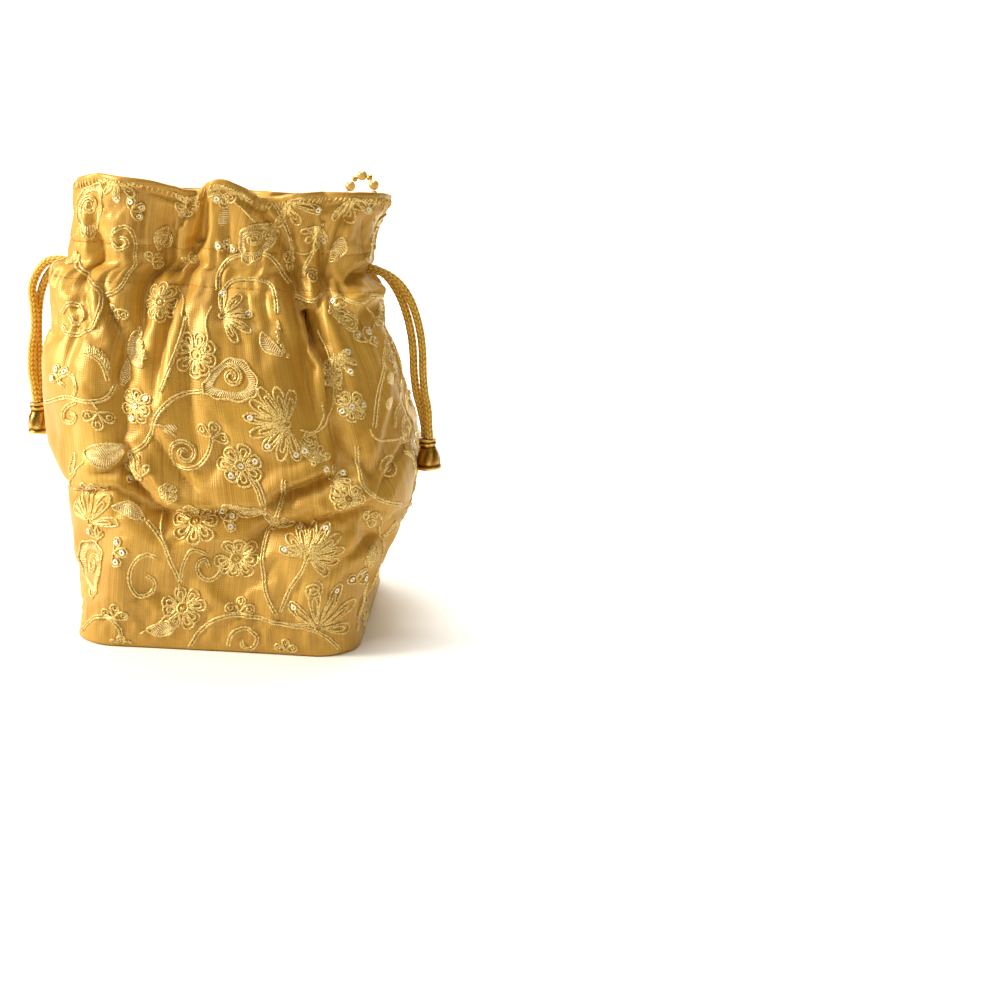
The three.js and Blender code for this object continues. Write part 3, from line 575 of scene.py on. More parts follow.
CAMERA_AT = np.array([134.906, -698.594, 251.952])
CAMERA_DOWN = math.radians(15)
CAMERA_ROLL = math.radians(3)
LENS, SENSOR, IMAGE = 50.0, 36.0, 1000
ahead = np.array([0, math.cos(CAMERA_DOWN), -math.sin(CAMERA_DOWN)])
level_right = np.array([1.0, 0.0, 0.0])
level_up = np.cross(level_right, ahead)
view_right = level_right * math.cos(CAMERA_ROLL) + level_up * math.sin(CAMERA_ROLL)
view_up = level_up * math.cos(CAMERA_ROLL) - level_right * math.sin(CAMERA_ROLL)

camera_data = bpy.data.cameras.new("photo_camera")
camera_data.lens = LENS
camera_data.sensor_width = SENSOR
camera = bpy.data.objects.new("photo_camera", camera_data)
bpy.context.scene.collection.objects.link(camera)
axes = Matrix([view_right, view_up, -ahead]).transposed().to_4x4()
camera.matrix_world = Matrix.Translation(Vector(CAMERA_AT * MM)) @ axes
bpy.context.scene.camera = camera


def in_photo(points):
    """The photo's pixels and the distance ahead of points in millimetres."""
    away = points - CAMERA_AT
    depth = away @ ahead
    scale = LENS / SENSOR * IMAGE / depth
    return IMAGE / 2 + scale * (away @ view_right), IMAGE / 2 - scale * (away @ view_up), depth


# Drawcords: two strands on each side, out of the channel and down to an end cap

BRAID_COLUMNS = 8
BRAID_STITCH = 2.5
BRAID_RELIEF = 0.62
BRAID_RING_SPACING = 0.4


def braid_relief(turn, along):
    """Plaited stitches that lean left and right in turn, so that they meet in chevrons."""
    column = turn / (2 * np.pi) * BRAID_COLUMNS
    index = np.floor(column)
    q = 2 * (column - index) - 1
    lean = np.where(index % 2 == 0, 0.3, -0.3)
    phase = along / BRAID_STITCH + lean * q + 0.5 * (np.floor(index / 2) % 2)
    w = 2 * (phase - np.floor(phase)) - 1
    return np.sqrt(np.clip(1 - w**2, 0, 1)) * (1 - 0.45 * np.abs(q) ** 3)


def neck_ring(around, level, inset):
    a, b, r, lean = section_at(NECK)
    x, y, _, _ = on_oval(a - inset, b - inset, r - inset, np.asarray(around, float))
    return np.array([float(x + lean), float(y), level])


DEEPEST_NECK_FOLD = FOLD_DEPTH * max(fold.depth[1] for fold in FOLDS)
CAD_CLOTH_WALL = 1.5
CORD_INSET = DEEPEST_NECK_FOLD + CAD_CLOTH_WALL + CLEARANCE + CORD_DIAMETER / 2 + CORD_ROOM
CHANNEL_INSET = CORD_INSET + CORD_DIAMETER / 2 + 2 * CORD_ROOM + CLEARANCE
STRAND_SPREAD = CORD_DIAMETER / 2 + CLEARANCE


def cord_level(side):
    return level_of(NECK) + side * STRAND_SPREAD


def strand_line(side, way):
    """The line of one strand, from inside its opening to its end cap. side is -1 on the left,
    and way is -1 for the front strand."""
    level = cord_level(side)
    a, _, _, lean = section_at(NECK)
    seam_x = float(side * (a - CORD_INSET) + lean)
    seam = 0 if side < 0 else 0.5
    step = (1 - 2 * CORD_JOINS) / CORD_RING_POINTS
    ring = [neck_ring(seam + way * side * (CORD_JOINS + k * step), level, CORD_INSET) for k in (2, 1, 0)]
    turn = [
        np.array([seam_x + side * outwards * CORD_BEND, way * sideways * CORD_BEND, level])
        for outwards, sideways in reversed(CORD_TURN)
    ]
    route = np.array(LEFT_STRAND if side < 0 else RIGHT_STRAND)
    x, z, angle = route[:, 0], route[:, 1], np.radians(route[:, 2])
    first = np.maximum(np.arange(len(x)) - 1, 0)
    last = np.minimum(np.arange(len(x)) + 1, len(x) - 1)
    run_x = x[last] - x[first]
    run_z = z[last] - z[first]
    outwards = -way * side * STRAND_SPREAD * np.sin(angle) / np.hypot(run_x, run_z)
    strand = np.stack([x - outwards * run_z, way * STRAND_SPREAD * np.cos(angle), z + outwards * run_x], -1)
    line = centripetal([*ring, *turn, *strand])
    free = lengths_along(centripetal(strand))[-1] + STRAND_INSIDE * CORD_BEND
    along = lengths_along(line)
    start = along[-1] - free
    wanted = np.linspace(start, along[-1], int(free / BRAID_RING_SPACING))
    return np.stack([np.interp(wanted, along, line[:, k]) for k in range(3)], -1)


strands = {}
for side_name, side in (("left", -1), ("right", 1)):
    for way_name, way in (("front", -1), ("back", 1)):
        line = strand_line(side, way)
        bm = tube_mesh(line, 4 * BRAID_COLUMNS, CORD_DIAMETER / 2, BRAID_RELIEF, braid_relief)
        strand = piece_from(bm, f"drawcord_{side_name}_{way_name}", BRAID)
        strands[side_name, way_name] = (strand, line)


# End caps: collar, waist and flared mouth, embossed with petals

BellRow = namedtuple("BellRow", "down diameter petals")
BELL_OUTSIDE = [
    BellRow(0.0, 0.5 * BELL_COLLAR, 0),
    BellRow(0.0, 0.8 * BELL_COLLAR, 0),
    BellRow(0.02, 0.93 * BELL_COLLAR, 0),
    BellRow(0.05, 0.99 * BELL_COLLAR, 0),
    BellRow(0.08, 0.95 * BELL_COLLAR, 0),
    BellRow(0.10, 0.9 * BELL_COLLAR, 0),
    BellRow(0.13, 0.97 * BELL_COLLAR, 0.3),
    BellRow(0.17, 1.0 * BELL_COLLAR, 0.5),
    BellRow(0.21, 0.97 * BELL_COLLAR, 0.3),
    BellRow(0.25, 0.88 * BELL_COLLAR, 0),
    BellRow(0.28, 0.86 * BELL_COLLAR, 0),
    BellRow(0.31, 0.93 * BELL_COLLAR, 0),
    BellRow(0.34, 0.68 * BELL_MOUTH, 0.2),
    BellRow(0.40, 0.77 * BELL_MOUTH, 0.7),
    BellRow(0.48, 0.85 * BELL_MOUTH, 1),
    BellRow(0.58, 0.91 * BELL_MOUTH, 1),
    BellRow(0.68, 0.95 * BELL_MOUTH, 0.9),
    BellRow(0.78, 0.96 * BELL_MOUTH, 0.5),
    BellRow(0.84, 0.94 * BELL_MOUTH, 0),
    BellRow(0.87, 0.92 * BELL_MOUTH, 0),
    BellRow(0.90, 0.97 * BELL_MOUTH, 0),
    BellRow(0.94, 1.0 * BELL_MOUTH, 0),
    BellRow(0.98, 0.99 * BELL_MOUTH, 0),
    BellRow(1.0, 0.95 * BELL_MOUTH, 0),
]
BELL_INSIDE = [
    BellRow(0.98, 0.86 * BELL_MOUTH, 0),
    BellRow(0.74, 0.82 * BELL_MOUTH, 0),
    BellRow(0.46, 0.7 * BELL_MOUTH, 0),
    BellRow(0.36, 0.55 * BELL_COLLAR, 0),
    BellRow(0.35, 0.02 * BELL_COLLAR, 0),
]
BELL_PETALS = 8
BELL_EMBOSS = 0.45


def end_cap(name, route):
    """A cap spun from its rows, pressed in between its petals, and hung on the end of a route."""
    bm = bmesh.new()
    relief_layer = bm.verts.layers.float.new("relief")
    rows = [BellRow(0.0, 0.02 * BELL_COLLAR, 0), *BELL_OUTSIDE, *BELL_INSIDE]
    verts = [bm.verts.new((row.diameter / 2 * MM, 0, -row.down * BELL_LENGTH * MM)) for row in rows]
    edges = [bm.edges.new(pair) for pair in zip(verts, verts[1:])]
    bmesh.ops.spin(
        bm, geom=verts + edges, cent=(0, 0, 0), axis=(0, 0, 1), angle=2 * math.pi,
        steps=6 * BELL_PETALS, use_merge=True)
    bmesh.ops.remove_doubles(bm, verts=bm.verts, dist=0.02 * BELL_COLLAR * MM)
    downs = [row.down for row in BELL_OUTSIDE]
    petals = [row.petals for row in BELL_OUTSIDE]
    widths = [row.diameter / 2 for row in BELL_OUTSIDE]
    for vert in bm.verts:
        radius = math.hypot(vert.co.x, vert.co.y) / MM
        down = -vert.co.z / MM / BELL_LENGTH
        outer = radius > 0.93 * np.interp(down, downs, widths)
        turn = math.atan2(vert.co.y, vert.co.x)
        share = np.interp(down, downs, petals) if outer else 0.0
        lobe = abs(math.cos(BELL_PETALS * turn / 2 + 4 * down)) ** 0.7
        sunk = BELL_EMBOSS * share * (1 - lobe)
        if radius > 0:
            vert.co.x *= 1 - sunk / radius
            vert.co.y *= 1 - sunk / radius
        rim = np.interp(down, [0, 0.02, 0.05, 0.1, 0.17, 0.27, 0.31, 0.5, 0.78, 0.86, 0.94, 1],
                        [0.4, 0.7, 1, 0.1, 0.9, 0.05, 0.5, 0.75, 0.7, 0.05, 1, 0.7])
        vert[relief_layer] = float(np.clip(rim * (1 - share * (1 - lobe)), 0, 1)) if outer else 0.1
    for face in bm.faces:
        face.smooth = True
    bmesh.ops.recalc_face_normals(bm, faces=bm.faces)
    (x, z, _), (x_before, z_before, _) = route[-1], route[-2]
    lean = math.atan2(x - x_before, z_before - z)
    at = Vector((x + CLEARANCE * math.sin(lean), 0, z - CLEARANCE * math.cos(lean))) * MM
    bmesh.ops.transform(bm, verts=bm.verts, matrix=Matrix.Translation(at) @ Matrix.Rotation(-lean, 4, "Y"))
    return piece_from(bm, name, BRASS)


caps = {
    "left": end_cap("end_cap_left", LEFT_STRAND),
    "right": end_cap("end_cap_right", RIGHT_STRAND),
}


# Bead handle: pearl-coated beads with a gilt spacer after each

def bead(bm, at, forward, radius, stretch, sides, rings, relief):
    """A round bead threaded along forward; stretch is its length as a share of its width."""
    relief_layer = bm.verts.layers.float["relief"]
    turn = Vector((0, 0, 1)).rotation_difference(Vector(forward)).to_matrix().to_4x4()
    size = Matrix.Diagonal((radius * MM, radius * MM, radius * stretch * MM, 1))
    made = bmesh.ops.create_uvsphere(
        bm, u_segments=sides, v_segments=rings, radius=1,
        matrix=Matrix.Translation(Vector(at) * MM) @ turn @ size)
    for vert in made["verts"]:
        vert[relief_layer] = relief
        for face in vert.link_faces:
            face.smooth = True


def bead_string():
    """Beads with spacers between them, at even distances along the handle's route."""
    line = centripetal([(x, y, level_of(RIM) + up) for x, y, up in HANDLE_ROUTE])
    length = lengths_along(line)[-1]
    count = round(length / BEAD_PITCH)
    points = evenly(line, 2 * count + 1)
    forward, _, _ = frames_along(points)
    bm = bmesh.new()
    bm.verts.layers.float.new("relief")
    for k in range(1, 2 * count):
        if k % 2:
            bead(bm, points[k], forward[k], BEAD_DIAMETER / 2, 1.0, 20, 12, 1.0)
        else:
            bead(bm, points[k], forward[k], SPACER_DIAMETER / 2, 0.85, 14, 8, 0.7)
    spacers = {
        face for face in bm.faces
        if face.verts[0][bm.verts.layers.float["relief"]] < 0.9
    }
    for face in spacers:
        face.material_index = 1
    return piece_from(bm, "bead_string", PEARL, GILT)


beads = bead_string()


# The cloth: crumpled by a short simulation, then set on a finer grid

FINE_ACROSS, FINE_UP = 312, 144
TRIAL_ACROSS, TRIAL_UP = 156, 72
TRIAL_FRAMES = 14
FARTHEST_DRIFT = 3.5


def settled_drift():
    """How far each point of a coarse grid moves when the cloth, a little too large for its form,
    crumples under the stitches that hold it. Millimetres, capped."""
    bm = sheet_mesh(TRIAL_ACROSS, TRIAL_UP, dressed_point, FLAT_CLOTH)
    trial = piece_from(bm, "cloth_trial")
    mesh = trial.data
    count = len(mesh.vertices)
    around = np.zeros(count, np.float32)
    rise = np.zeros(count, np.float32)
    mesh.attributes["around"].data.foreach_get("value", around)
    mesh.attributes["rise"].data.foreach_get("value", rise)
    start = np.zeros(count * 3, np.float32)
    mesh.vertices.foreach_get("co", start)
    hold = trial.vertex_groups.new(name="hold")
    stitched = sum(near(rise, line, 0.03) for line in CHANNEL_STITCHES)
    held = np.clip(0.1 + 0.5 * stitched + near(rise, 0.0, 0.1) + near(rise, 1.0, 0.03), 0, 1)
    for index, weight in enumerate(held.tolist()):
        hold.add([index], weight, "REPLACE")
    modifier = trial.modifiers.new("settle", "CLOTH")
    cloth = modifier.settings
    cloth.quality = 5
    cloth.mass = 0.2
    cloth.tension_stiffness = 12
    cloth.compression_stiffness = 12
    cloth.shear_stiffness = 4
    cloth.bending_stiffness = 0.8
    cloth.vertex_group_mass = "hold"
    cloth.pin_stiffness = 0.6
    cloth.shrink_min = -0.05
    cloth.effector_weights.gravity = 0
    modifier.collision_settings.use_collision = False
    modifier.collision_settings.use_self_collision = False
    modifier.point_cache.frame_start = 1
    modifier.point_cache.frame_end = TRIAL_FRAMES
    scene = bpy.context.scene
    for number in range(1, TRIAL_FRAMES + 1):
        scene.frame_set(number)
    settled = trial.evaluated_get(bpy.context.evaluated_depsgraph_get()).data
    end = np.zeros(count * 3, np.float32)
    settled.vertices.foreach_get("co", end)
    scene.frame_set(1)
    drift = (end - start).reshape(-1, 3) / MM
    far = np.linalg.norm(drift, axis=1, keepdims=True)
    drift *= FARTHEST_DRIFT * np.tanh(far / FARTHEST_DRIFT) / np.maximum(far, 1e-6)
    field = np.zeros((TRIAL_UP + 1, TRIAL_ACROSS + 1, 3))
    column = np.rint(around * TRIAL_ACROSS).astype(int) % TRIAL_ACROSS
    row = np.rint(rise * TRIAL_UP).astype(int)
    field[row, column] = drift
    field[:, -1] = field[:, 0]
    bpy.data.objects.remove(trial)
    return field


def from_field(field, around, rise):
    """Values between the points of a grid over the way round and the rise."""
    up, across = field.shape[0] - 1, field.shape[1] - 1
    x = (around % 1.0) * across
    y = np.clip(rise, 0, 1) * up
    i = np.minimum(np.floor(x).astype(int), across - 1)
    j = np.minimum(np.floor(y).astype(int), up - 1)
    s, t = (x - i)[..., None], (y - j)[..., None]
    low = mix(field[j, i], field[j, i + 1], s)
    high = mix(field[j + 1, i], field[j + 1, i + 1], s)
    return mix(low, high, t)


class Surface:
    """The cloth's outer face as a grid of points and normals, and where each shows in the photo."""

    def __init__(self, across, up, place):
        around, rise = np.meshgrid(np.linspace(0, 1, across + 1), np.linspace(0, 1, up + 1))
        self.around, self.rise = around, rise
        self.points = place(around.ravel(), rise.ravel()).reshape(up + 1, across + 1, 3)
        self.run_round = np.gradient(self.points, axis=1) * across
        self.run_up = np.gradient(self.points, axis=0) * up
        normals = np.cross(self.run_round, self.run_up)
        self.normals = normals / np.linalg.norm(normals, axis=2, keepdims=True)
        x, y, self.depth = in_photo(self.points)
        self.photo = np.stack([x, y], -1)
        facing = np.sum(self.normals * (self.points - CAMERA_AT), axis=2) < 0
        self.seen = facing & (rise > 0.005)

    def at(self, shares):
        around, rise = shares[:, 0], shares[:, 1]
        normal = from_field(self.normals, around, rise)
        return from_field(self.points, around, rise), normal / np.linalg.norm(normal, axis=1, keepdims=True)

    def scale_at(self, around, rise):
        """Millimetres of cloth per share of the way round, and per share of the rise."""
        spots = np.array([[around + du, rise + dv] for du in (-0.012, 0, 0.012) for dv in (-0.02, 0, 0.02)])
        spots[:, 1] = np.clip(spots[:, 1], 0.01, 0.99)
        round_run = np.linalg.norm(from_field(self.run_round, spots[:, 0], spots[:, 1]), axis=1)
        up_run = np.linalg.norm(from_field(self.run_up, spots[:, 0], spots[:, 1]), axis=1)
        return float(np.mean(round_run)), float(np.mean(up_run))

    def under(self, x, y):
        """The place on the cloth, as (way round, rise), that shows at a pixel of the photo."""
        away = np.hypot(self.photo[..., 0] - x, self.photo[..., 1] - y)
        away = np.where(self.seen, away, 1e6)
        close = away < max(5.0, away.min() + 1.5)
        front = self.depth[close].min()
        close &= self.depth < front + 14
        j, i = np.unravel_index(np.argmin(np.where(close, away, 1e6)), away.shape)
        here = np.array([self.around[j, i], self.rise[j, i]])
        for _ in range(3):
            step = 0.003
            spots = np.array([here, here + (step, 0), here + (0, step)])
            spots[:, 1] = np.clip(spots[:, 1], 0, 1)
            points, _ = self.at(spots)
            px, py, _ = in_photo(points)
            slopes = np.array([[px[1] - px[0], px[2] - px[0]], [py[1] - py[0], py[2] - py[0]]]) / step
            if abs(np.linalg.det(slopes)) < 1e3:
                break
            move = np.linalg.solve(slopes, np.array([x - px[0], y - py[0]]))
            here = here + np.clip(move, -0.01, 0.01)
        here[1] = min(max(here[1], 0.0), 1.0)
        return here


# Creases, puffs and pits that are sharper than the solid's folds. Each line runs upwards or
# from left to right. depth is in millimetres inwards, and a negative one stands proud; left and
# right are how far it reaches to each side of the line, seen from outside.
Crease = namedtuple("Crease", "line depth left right")
FRONT_CREASES = [  # lines in pixels of the photo
    Crease([(186, 262), (203, 238), (205, 210), (206, 184)], 8.5, 16, 3),
    Crease([(157, 392), (163, 342), (176, 300), (188, 278)], 6, 9, 3),
    Crease([(170, 396), (177, 342), (190, 300), (200, 280)], -2, 4, 8),
    Crease([(168, 272), (184, 269)], 6, 7, 6),
    Crease([(114, 388), (121, 355), (106, 312), (98, 290)], 4, 3, 9),
    Crease([(330, 412), (327, 366), (309, 325), (296, 290)], 9, 3, 13),
    Crease([(320, 358), (310, 328), (302, 300)], 8, 4.5, 11),
    Crease([(316, 396), (315, 362), (296, 325), (284, 292)], -2.5, 9, 4),
    Crease([(294, 252), (286, 226), (271, 204), (254, 184)], 4.5, 2.2, 13),
    Crease([(330, 258), (341, 240), (351, 216), (358, 204)], 5, 9, 3),
    Crease([(332, 356), (324, 326), (321, 300), (325, 286)], 5, 9, 3.5),
    Crease([(262, 500), (290, 487), (318, 475), (340, 471)], 6.5, 2.6, 11),
    Crease([(260, 490), (288, 477), (316, 466), (338, 462)], -2, 9, 4),
    Crease([(197, 500), (172, 494), (150, 466), (128, 434)], -4, 3, 9),
    Crease([(203, 509), (168, 507), (142, 484), (118, 448)], 4, 8, 2.5),
    Crease([(205, 492), (186, 478), (162, 446), (150, 428)], 3.5, 3, 7),
    Crease(
        [(70, 480), (110, 478), (135, 488), (168, 500), (210, 499), (250, 500), (290, 512), (330, 504),
         (370, 494), (404, 502)], -3, 16, 5),
    Crease(
        [(74, 492), (110, 488), (135, 500), (168, 512), (210, 510), (250, 512), (290, 524), (330, 516),
         (370, 506), (400, 514)], 3, 3.5, 16),
    Crease([(330, 478), (334, 440), (326, 408)], 4.5, 4, 10),
    Crease([(356, 476), (376, 424), (388, 376)], -2.2, 8, 7),
    Crease([(366, 500), (388, 470), (404, 440)], 3, 4, 7),
    Crease([(340, 560), (372, 536), (392, 520)], 2.5, 4, 8),
    Crease([(88, 332), (84, 302), (87, 278)], 2.6, 5, 4),
    Crease([(113, 334), (105, 304), (106, 276)], 3, 5, 4),
    Crease([(143, 336), (141, 304), (148, 280)], 2.6, 4, 5),
    Crease([(226, 332), (223, 304), (226, 284)], 2.2, 4, 4),
    Crease([(252, 336), (247, 304), (248, 282)], 2.2, 4, 4),
    Crease([(272, 340), (264, 306), (264, 284)], 2.4, 4, 4),
    Crease([(345, 344), (342, 318), (345, 300)], 2.2, 4, 4),
    Crease([(366, 352), (362, 324), (364, 304)], 2.2, 4, 4),
    Crease([(100, 262), (96, 236), (92, 204)], 3, 5, 4),
    Crease([(132, 262), (136, 236), (143, 196)], 3.2, 4, 6),
    Crease([(160, 262), (168, 236), (176, 200)], 3, 6, 4),
    Crease([(230, 262), (226, 232), (226, 204)], 2.2, 5, 4),
    Crease([(258, 262), (260, 240), (255, 214)], 2.4, 4, 5),
    Crease([(311, 264), (310, 236), (316, 206)], 3.5, 5, 4),
    Crease([(366, 258), (367, 236), (371, 210)], 2.5, 4, 4),
    Crease([(328, 290), (343, 298), (360, 293), (378, 282)], -5.5, 4, 8),
    Crease([(345, 284), (358, 279), (371, 272)], 7, 6, 4),
    Crease([(96, 470), (120, 462), (140, 440)], 2.4, 4, 6),
    Crease([(212, 470), (222, 440), (216, 412)], 2.2, 6, 5),
    Crease([(90, 640), (160, 646), (240, 651), (330, 652)], 1.2, 5, 3),
]
BACK_CREASES = [  # lines in shares of the way round and of the rise
    Crease([(0.545, 0.5), (0.56, 0.64), (0.572, 0.755)], 4, 3, 9),
    Crease([(0.632, 0.42), (0.646, 0.6), (0.648, 0.755)], 5.5, 9, 3),
    Crease([(0.7, 0.52), (0.712, 0.64), (0.716, 0.755)], 4, 4, 7),
    Crease([(0.785, 0.4), (0.796, 0.6), (0.792, 0.755)], 6, 3, 10),
    Crease([(0.85, 0.52), (0.862, 0.66), (0.862, 0.755)], 4, 7, 4),
    Crease([(0.925, 0.46), (0.938, 0.62), (0.932, 0.755)], 4.5, 3, 9),
    Crease([(0.975, 0.54), (0.985, 0.66), (0.98, 0.75)], 3, 5, 4),
    Crease([(0.6, 0.56), (0.612, 0.66), (0.61, 0.75)], 2.6, 4, 4),
    Crease([(0.76, 0.58), (0.757, 0.67), (0.756, 0.75)], 2.6, 4, 4),
    Crease([(0.828, 0.6), (0.826, 0.68), (0.828, 0.75)], 2.6, 4, 4),
    Crease([(0.575, 0.87), (0.572, 0.93), (0.566, 1.0)], 4.5, 9, 3),
    Crease([(0.648, 0.87), (0.652, 0.93), (0.66, 1.0)], 5, 3, 10),
    Crease([(0.718, 0.87), (0.722, 0.93), (0.73, 1.0)], 3.6, 7, 4),
    Crease([(0.79, 0.87), (0.794, 0.93), (0.79, 1.0)], 5, 9, 3),
    Crease([(0.862, 0.87), (0.866, 0.93), (0.872, 1.0)], 3.6, 4, 8),
    Crease([(0.934, 0.87), (0.936, 0.93), (0.93, 1.0)], 4, 8, 3),
    Crease(
        [(0.52, 0.3), (0.6, 0.34), (0.68, 0.31), (0.76, 0.35), (0.84, 0.31), (0.93, 0.34),
         (1.0, 0.32)], -3, 16, 5),
    Crease(
        [(0.52, 0.275), (0.6, 0.315), (0.68, 0.285), (0.76, 0.325), (0.84, 0.285), (0.93, 0.315),
         (1.0, 0.3)], 3, 3.5, 16),
    Crease([(0.6, 0.36), (0.64, 0.31), (0.69, 0.25)], 4.5, 9, 2.6),
    Crease([(0.78, 0.22), (0.82, 0.27), (0.86, 0.33)], 4.5, 3, 9),
    Crease([(0.9, 0.24), (0.94, 0.2), (0.98, 0.22)], 3, 4, 8),
]


def crease_depth(crease, around, rise):
    """How far one crease pulls the cloth in at each place."""
    places = np.array(crease.line, float)
    a, b, r, _ = section_at(places[:, 1].mean())
    size = np.array([float(girth_of(a, b, r)), CLOTH_HEIGHT])
    flat = centripetal((places - places[0]) * size, 6)[::2]
    spot = np.stack([way_from(places[0][0], around), rise - places[0][1]], -1) * size
    along = lengths_along(flat)
    best = np.full(np.shape(around), 1e9)
    side = np.zeros(np.shape(around))
    done = np.zeros(np.shape(around))
    for start, end, before in zip(flat, flat[1:], along):
        run = end - start
        length = np.hypot(*run)
        t = np.clip(((spot - start) @ run) / length**2, 0, 1)
        away = spot - start - t[..., None] * run
        distance = np.hypot(away[..., 0], away[..., 1])
        closer = distance < best
        best = np.where(closer, distance, best)
        side = np.where(closer, run[0] * away[..., 1] - run[1] * away[..., 0], side)
        done = np.where(closer, before + t * length, done)
    reach = np.where(side > 0, crease.left, crease.right)
    near_line = np.clip(1 - best / reach, 0, 1)
    shape = near_line**1.6 if crease.depth > 0 else smooth(near_line)
    ends = smooth(np.minimum(done, along[-1] - done + 1e-6) / (0.3 * along[-1]))
    return crease.depth * shape * mix(0.25, 1, ends)


def creases_at(around, rise):
    """All creases together; in the channel they stop short of the drawcords."""
    pull = sum(crease_depth(crease, around, rise) for crease in creases)
    room = np.maximum(DEEPEST_NECK_FOLD - fold_at(around, rise), 0)
    return np.where(np.abs(rise - NECK) < 1.6 * CHANNEL_HALF, np.minimum(pull, room), pull)


def dressed_point(around, rise):
    inset = puckers_at(around, rise) - hem_at(rise) + from_field(crease_field, around, rise)[..., 0]
    return cloth_point(around, rise, inset)


plain = Surface(FINE_ACROSS, FINE_UP, cloth_point)
creases = BACK_CREASES + [
    crease._replace(line=[tuple(plain.under(x, y)) for x, y in crease.line]) for crease in FRONT_CREASES
]
crease_field = creases_at(plain.around, plain.rise)[..., None]
drift_field = settled_drift()


def silk_point(around, rise):
    points = dressed_point(around, rise) + from_field(drift_field, around, rise)
    points[..., 2] = np.maximum(points[..., 2], 2 * FOOT)
    return points


silk = Surface(FINE_ACROSS, FINE_UP, silk_point)

# How far the finished cloth lies inside the solid's face, for the lining to stay within it
pulled_in = np.maximum(np.sum((plain.points - silk.points) * plain.normals, axis=2), 0)
pulled_in = np.max([np.roll(pulled_in, shift, axis=1) for shift in range(-4, 5)], axis=0)
for shift in (1, 2):
    pulled_in[shift:] = np.maximum(pulled_in[shift:], pulled_in[:-shift])
    pulled_in[:-shift] = np.maximum(pulled_in[:-shift], pulled_in[shift:])


# The openings that the strands leave by: a slot at each side seam

SLOT_HALF_WIDTH = STRAND_SPREAD + CORD_DIAMETER / 2 + 0.7
SLOT_HALF_HEIGHT = CORD_DIAMETER / 2 + 0.9
SLOT_EDGE_FROM, SLOT_EDGE_TO = 0.3, 1.9  # edge points this near the slot's outline are drawn onto it


def open_slot(bm, side):
    """Cuts a slot through the cloth at a side seam and rounds its edge."""
    level = cord_level(side) * MM

    def share(vert):
        if vert.co.x * side < 0:
            return 9.0
        return math.hypot(vert.co.y / SLOT_HALF_WIDTH, (vert.co.z - level) / SLOT_HALF_HEIGHT) / MM

    inside = [face for face in bm.faces if sum(share(vert) < 1 for vert in face.verts) >= 2]
    bmesh.ops.delete(bm, geom=inside, context="FACES")
    for edge in bm.edges:
        if not edge.is_boundary:
            continue
        for vert in edge.verts:
            away = share(vert)
            if SLOT_EDGE_FROM < away < SLOT_EDGE_TO and abs(away - 1) > 1e-3:
                vert.co.y /= away
                vert.co.z = level + (vert.co.z - level) / away


bm = sheet_mesh(FINE_ACROSS, FINE_UP, silk_point, FLAT_CLOTH)
for side in (-1, 1):
    open_slot(bm, side)
bmesh.ops.recalc_face_normals(bm, faces=bm.faces)
bag_cloth = piece_from(bm, "bag_cloth", SILK)
wall = bag_cloth.modifiers.new("wall", "SOLIDIFY")
wall.thickness = CLOTH_WALL * MM
wall.offset = -1
wall.use_even_offset = False


# The lining: a cup that hangs looser than the cloth and is sewn in below the rim

LINING_TOP = 1 - LINING_DROP / CLOTH_HEIGHT
LINING_ACROSS, LINING_UP = 336, 84
LINING_FLOOR = 0.085  # the share of the lining's rise that lies on the base
LINING_SEWN_FROM = 0.87
LINING_ROOM = 0.8  # millimetres kept free of the cloth's sharpest folds above the channel
LINING_SEAM_GAP = 0.4  # millimetres more from the cloth where the two are sewn together


def lining_point(around, share):
    """share runs from the middle of the floor out to its edge, then up the wall to the hem."""
    rise = LINING_TOP * np.clip((share - LINING_FLOOR) / (1 - LINING_FLOOR), 0, 1)
    rise = np.maximum(rise, 0.02)
    sewn = (CAD_CLOTH_WALL + CLEARANCE) * slant(around, rise)
    loose = LINING_SLACK * smooth((NECK - rise) / SLACK_RISE) * smooth(rise / SLACK_RISE)
    soft = 1.0 * np.sin(2 * np.pi * (13 * around + 2 * rise)) * near(rise, 0.5, 0.35)
    followed = from_field(pulled_in[..., None], around, rise)[..., 0]
    followed = followed + LINING_ROOM * smooth((rise - LINING_SEWN_FROM + 0.04) / 0.03)
    wall = cloth_point(around, rise, sewn + loose + soft + followed)
    a, b, r, lean = section_at(NECK)
    x, y, _, _ = on_oval(a - CHANNEL_INSET, b - CHANNEL_INSET, r - CHANNEL_INSET, around)
    channel = np.stack([x + lean, y, wall[..., 2]], -1)
    held = 1 - smooth((np.abs(rise - NECK) - CHANNEL_HALF) / CHANNEL_HALF)
    wall = mix(wall, channel, held[..., None])
    outer, outwards = silk.at(np.stack([around.ravel(), rise.ravel()], -1))
    sewn_on = (outer - (CLOTH_WALL + CLEARANCE + LINING_SEAM_GAP) * outwards).reshape(wall.shape)
    wall = mix(wall, sewn_on, smooth((rise - LINING_SEWN_FROM) / 0.04)[..., None])
    inwards = np.clip(share / LINING_FLOOR, 0, 1)[..., None]
    floor_level = BASE_THICKNESS + CLEARANCE
    lowest = np.where(share[..., None] < LINING_FLOOR, floor_level, np.maximum(wall[..., 2:], floor_level))
    flat = np.concatenate([wall[..., :2] * np.maximum(inwards, 0.002), lowest], -1)
    return flat


bm = sheet_mesh(LINING_ACROSS, LINING_UP, lining_point, FLAT_LINING)
bmesh.ops.remove_doubles(bm, verts=[v for v in bm.verts if math.hypot(v.co.x, v.co.y) < 0.001], dist=0.001)
lining = piece_from(bm, "lining_cup", LINING_CLOTH)
wall = lining.modifiers.new("wall", "SOLIDIFY")
wall.thickness = LINING_WALL * MM
wall.offset = -1


# The base: a stiff panel covered in plain silk, with a line of stitches inside its edge

